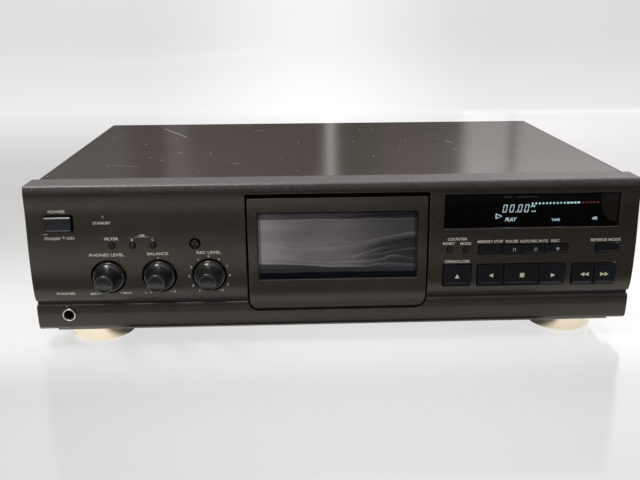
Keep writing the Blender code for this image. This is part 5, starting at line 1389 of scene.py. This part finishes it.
def floor():
    """Pale paper on a table, turned up into a low sweep behind the deck. Its sheen is strongest near the deck."""
    verts, faces = [], []
    rows = [(-12.0, 0.0), (-3.0, 0.0), (-1.0, 0.0), (-0.3, 0.0), (0.3, 0.0), (1.0, 0.0)]
    rows += [(1.0 + 0.19 * math.sin(math.radians(t)), 0.19 * (1 - math.cos(math.radians(t)))) for t in range(8, 81, 8)]
    y, z = rows[-1]
    rows += [(y + 0.02, z + 0.096)]
    xs = (-12.0, -3.0, -1.0, 0.0, 1.0, 3.0, 12.0)
    for y, z in rows:
        for x in xs:
            verts.append((x, y, z))
    n = len(xs)
    for j in range(len(rows) - 1):
        for i in range(n - 1):
            k = j * n + i
            faces.append((k, k + 1, k + n + 1, k + n))
    mesh = bpy.data.meshes.new("studio_floor")
    mesh.from_pydata(verts, [], faces)
    mesh.shade_smooth()
    mat = surface("floor_paper", (0.20, 0.20, 0.202), 0.13, spec=0.5, tone=(0.9, 0.012), rough_var=(3.0, 0.03), grain=None)
    tree = mat.node_tree
    bsdf = tree.nodes["Principled BSDF"]
    where = tree.nodes.new("ShaderNodeTexCoord").outputs["Object"]
    length = node(tree, "ShaderNodeVectorMath", operation="LENGTH")
    tree.links.new(where, length.inputs[0])
    sheen = span(tree, length.outputs["Value"], 0.45, 1.1, 0.5, 0.02, True)
    tree.links.new(sheen, bsdf.inputs["Specular IOR Level"])
    # the light under the table: a lit strip along the deck, a dark gap, a pale cloth in front of it, then nothing
    axes = node(tree, "ShaderNodeSeparateXYZ")
    tree.links.new(where, axes.inputs[0])
    wx, wy = axes.outputs["X"], axes.outputs["Y"]
    ahead = maths(tree, "SUBTRACT", -0.124, wy)
    near = span(tree, ahead, 0.060, 0.080, 1.0, 0.0, True)
    cloth = maths(tree, "MULTIPLY", span(tree, ahead, 0.150, 0.185, 0.0, 1.0, True), span(tree, ahead, 0.36, 0.50, 1.0, 0.0, True))
    cloth = maths(tree, "MULTIPLY", cloth, span(tree, wx, -0.05, 0.22, 1.30, 0.24, True))
    wide = maths(tree, "ABSOLUTE", wx, 0.0)
    open_air = maths(tree, "MULTIPLY", span(tree, ahead, -0.036, -0.016, 0.0, 1.0, True), span(tree, wide, 0.150, 0.168, 0.0, 1.0, True))
    open_air = maths(tree, "MAXIMUM", open_air, span(tree, wide, 0.185, 0.21, 0.0, 1.0, True))
    open_air = maths(tree, "MAXIMUM", open_air, span(tree, ahead, 0.010, 0.030, 0.0, 1.0, True))
    near = maths(tree, "MULTIPLY", maths(tree, "MULTIPLY", near, open_air), span(tree, wy, 0.25, 0.5, 1.0, 0.0, True))
    fade = maths(tree, "MAXIMUM", maths(tree, "MAXIMUM", near, cloth), 0.07)
    seen = node(tree, "ShaderNodeLightPath").outputs["Is Camera Ray"]
    # what the camera sees of the paper is painted: darker towards the front, lighter towards the back, lighter in the
    # middle and in a band just in front of the deck where its shadow would fall
    side = span(tree, wx, -0.5, 0.6, 0.31, 0.315, True)
    by_eye = maths(tree, "ADD", span(tree, wy, -0.42, -0.2, -0.08, 0.0, True), span(tree, wy, 0.3, 1.1, 0.0, 0.275, True))
    by_eye = maths(tree, "ADD", by_eye, maths(tree, "MULTIPLY", span(tree, ahead, -0.02, 0.08, 0.235, 0.0, True), span(tree, ahead, -0.30, -0.06, 0.0, 1.0, True)))
    middle = span(tree, maths(tree, "ABSOLUTE", maths(tree, "SUBTRACT", wx, 0.03), 0.0), 0.0, 0.42, 0.165, 0.0, True)
    by_eye = maths(tree, "ADD", by_eye, middle)
    lit_side = span(tree, wx, -0.3, 0.1, 1.04, 0.78, True)
    eye_side = maths(tree, "ADD", side, by_eye)
    glow = maths(tree, "ADD", maths(tree, "MULTIPLY", eye_side, seen),
                 maths(tree, "MULTIPLY", maths(tree, "MULTIPLY", fade, lit_side), maths(tree, "SUBTRACT", 1.0, seen)))
    bsdf.inputs["Emission Color"].default_value = (1.0, 1.0, 1.0, 1.0)
    tree.links.new(glow, bsdf.inputs["Emission Strength"])
    old = bsdf.inputs["Base Color"].links[0].from_socket
    tree.links.new(blend_color(tree, maths(tree, "MAXIMUM", fade, seen), (0.03, 0.03, 0.03), old), bsdf.inputs["Base Color"])
    # the sweep only closes the view; it hides nothing from the deck's own reflections
    end = next(n for n in tree.nodes if n.type == "OUTPUT_MATERIAL")
    clear, mix = node(tree, "ShaderNodeBsdfTransparent"), node(tree, "ShaderNodeMixShader")
    tree.links.new(maths(tree, "MULTIPLY", span(tree, wy, 0.96, 1.0, 0.0, 1.0, True), maths(tree, "SUBTRACT", 1.0, seen)), mix.inputs[0])
    tree.links.new(bsdf.outputs[0], mix.inputs[1])
    tree.links.new(clear.outputs[0], mix.inputs[2])
    tree.links.new(mix.outputs[0], end.inputs["Surface"])
    mesh.materials.append(mat)
    obj = bpy.data.objects.new("studio_floor", mesh)
    bpy.context.scene.collection.objects.link(obj)


floor()


def area(name, where, target, size, power, color=(1.0, 1.0, 1.0), spread=180.0, shape=None):
    light = bpy.data.lights.new(name, "AREA")
    light.shape = "RECTANGLE"
    light.size, light.size_y = size
    light.energy = power
    light.color = color
    light.spread = math.radians(spread)
    obj = bpy.data.objects.new(name, light)
    obj.location = where
    direction = Vector(target) - Vector(where)
    obj.rotation_euler = direction.to_track_quat("-Z", "Y").to_euler()
    bpy.context.scene.collection.objects.link(obj)


area("key_strip", (-0.48, -0.28, 1.45), (-0.1, -0.05, 0.08), (1.25, 0.30), 20.0, (1.0, 0.985, 0.965))
area("top_soft", (0.1, 0.9, 2.2), (0.0, 0.1, 0.0), (2.4, 1.8), 19.0, (0.97, 0.98, 1.0))

world = bpy.data.worlds.new("studio")
bpy.context.scene.world = world
world.use_nodes = True
wt = world.node_tree
wcoord = node(wt, "ShaderNodeTexCoord").outputs["Generated"]
waxes = node(wt, "ShaderNodeSeparateXYZ")
wt.links.new(wcoord, waxes.inputs[0])
wx, wy, wz = waxes.outputs["X"], waxes.outputs["Y"], waxes.outputs["Z"]


def ramp(tree, value, lo, hi, stops):
    """Colours along a value, from (place, colour) pairs."""
    n = node(tree, "ShaderNodeValToRGB")
    row = n.color_ramp.elements
    for k, (at, color) in enumerate(stops):
        spot = (at - lo) / (hi - lo)
        if k < 2:
            row[k].position = spot
        e = row[k] if k < 2 else row.new(spot)
        e.color = (*color, 1.0)
    tree.links.new(span(tree, value, lo, hi, 0.0, 1.0), n.inputs[0])
    return n.outputs[0]


# low down behind the deck stands a dim room with one lit gap and a pale wall on the right; the ceiling is light
bearing = maths(wt, "DIVIDE", wx, maths(wt, "MAXIMUM", wy, 0.02))
DIM, MAROON, BROWN, OLIVE = (0.152, 0.130, 0.124), (0.125, 0.102, 0.098), (0.150, 0.128, 0.118), (0.108, 0.100, 0.082)
WALL, DIM2 = (0.66, 0.61, 0.60), (0.118, 0.098, 0.094)
room = ramp(wt, bearing, -1.0, 1.0, [
    (-1.0, (0.15, 0.145, 0.13)), (1.0, WALL), (-0.40, (0.165, 0.155, 0.138)), (-0.222, (0.185, 0.170, 0.158)), (-0.206, MAROON),
    (-0.170, MAROON), (-0.163, (0.215, 0.19, 0.185)), (-0.150, (0.255, 0.228, 0.222)), (-0.128, DIM), (0.046, DIM2), (0.0515, (0.5, 0.48, 0.46)),
    (0.0545, (1.0, 0.97, 0.94)), (0.0585, (1.0, 0.97, 0.94)), (0.0635, OLIVE), (0.105, OLIVE), (0.135, BROWN), (0.205, (0.172, 0.152, 0.142)), (0.232, (0.185, 0.167, 0.155)),
    (0.2435, WALL), (0.302, WALL), (0.3045, (0.20, 0.185, 0.175)), (0.3105, (0.20, 0.185, 0.175)), (0.313, WALL)])
rear = span(wt, wy, 0.05, 0.35, 0.0, 1.0, True)
lift = span(wt, wz, 0.14, 0.235, 0.76, 1.30)
bright = node(wt, "ShaderNodeVectorMath", operation="SCALE")
wt.links.new(room, bright.inputs[0])
lift = maths(wt, "MULTIPLY", lift, span(wt, wz, 0.236, 0.275, 1.0, 1.75, True))
right_lift = maths(wt, "MULTIPLY", span(wt, wz, 0.175, 0.235, 0.0, 0.20, True), span(wt, wx, 0.04, 0.10, 0.0, 1.0, True))
lift = maths(wt, "MULTIPLY", lift, maths(wt, "ADD", right_lift, 1.0))
wt.links.new(lift, bright.inputs["Scale"])
front = span(wt, wy, -0.5, -0.1, 1.0, 0.0, True)
shade = maths(wt, "MULTIPLY", maths(wt, "MULTIPLY", span(wt, wx, -0.1, 0.6, 0.0, 1.0, True), front), -0.4)
climb = maths(wt, "ADD", span(wt, wz, 0.36, 0.62, 0.0, 1.0, True), shade)
climb = maths(wt, "MAXIMUM", maths(wt, "MINIMUM", climb, 1.0), 0.0)
ahead_low = blend_color(wt, span(wt, wz, 0.10, 0.22, 0.0, 1.0, True), (0.045, 0.042, 0.042), (0.27, 0.255, 0.247))
low = blend_color(wt, rear, ahead_low, bright.outputs[0])
wcolor = blend_color(wt, climb, low, (0.82, 0.82, 0.84))
seen = node(wt, "ShaderNodeLightPath").outputs["Is Camera Ray"]
wcolor = blend_color(wt, seen, wcolor, (0.78, 0.78, 0.79))
wt.links.new(wcolor, wt.nodes["Background"].inputs["Color"])
wt.nodes["Background"].inputs["Strength"].default_value = 1.0

yaw, pitch, roll = 0.04063, 0.31318, -0.0044958
fwd = Vector((math.sin(yaw) * math.cos(pitch), math.cos(yaw) * math.cos(pitch), -math.sin(pitch)))
right = Vector((math.cos(yaw), -math.sin(yaw), 0.0))
up = right.cross(fwd)
right2 = right * math.cos(roll) + up * math.sin(roll)
up2 = up * math.cos(roll) - right * math.sin(roll)
camera = bpy.data.cameras.new("camera")
camera.sensor_width = 36.0
camera.lens = 743.82 / 640.0 * 36.0
camera.clip_start = 0.01
camera.clip_end = 200.0
cam_obj = bpy.data.objects.new("camera", camera)
cam_obj.matrix_world = Matrix(((right2.x, up2.x, -fwd.x, CAM[0]), (right2.y, up2.y, -fwd.y, CAM[1]),
                               (right2.z, up2.z, -fwd.z, CAM[2]), (0, 0, 0, 1)))
bpy.context.scene.collection.objects.link(cam_obj)
bpy.context.scene.camera = cam_obj
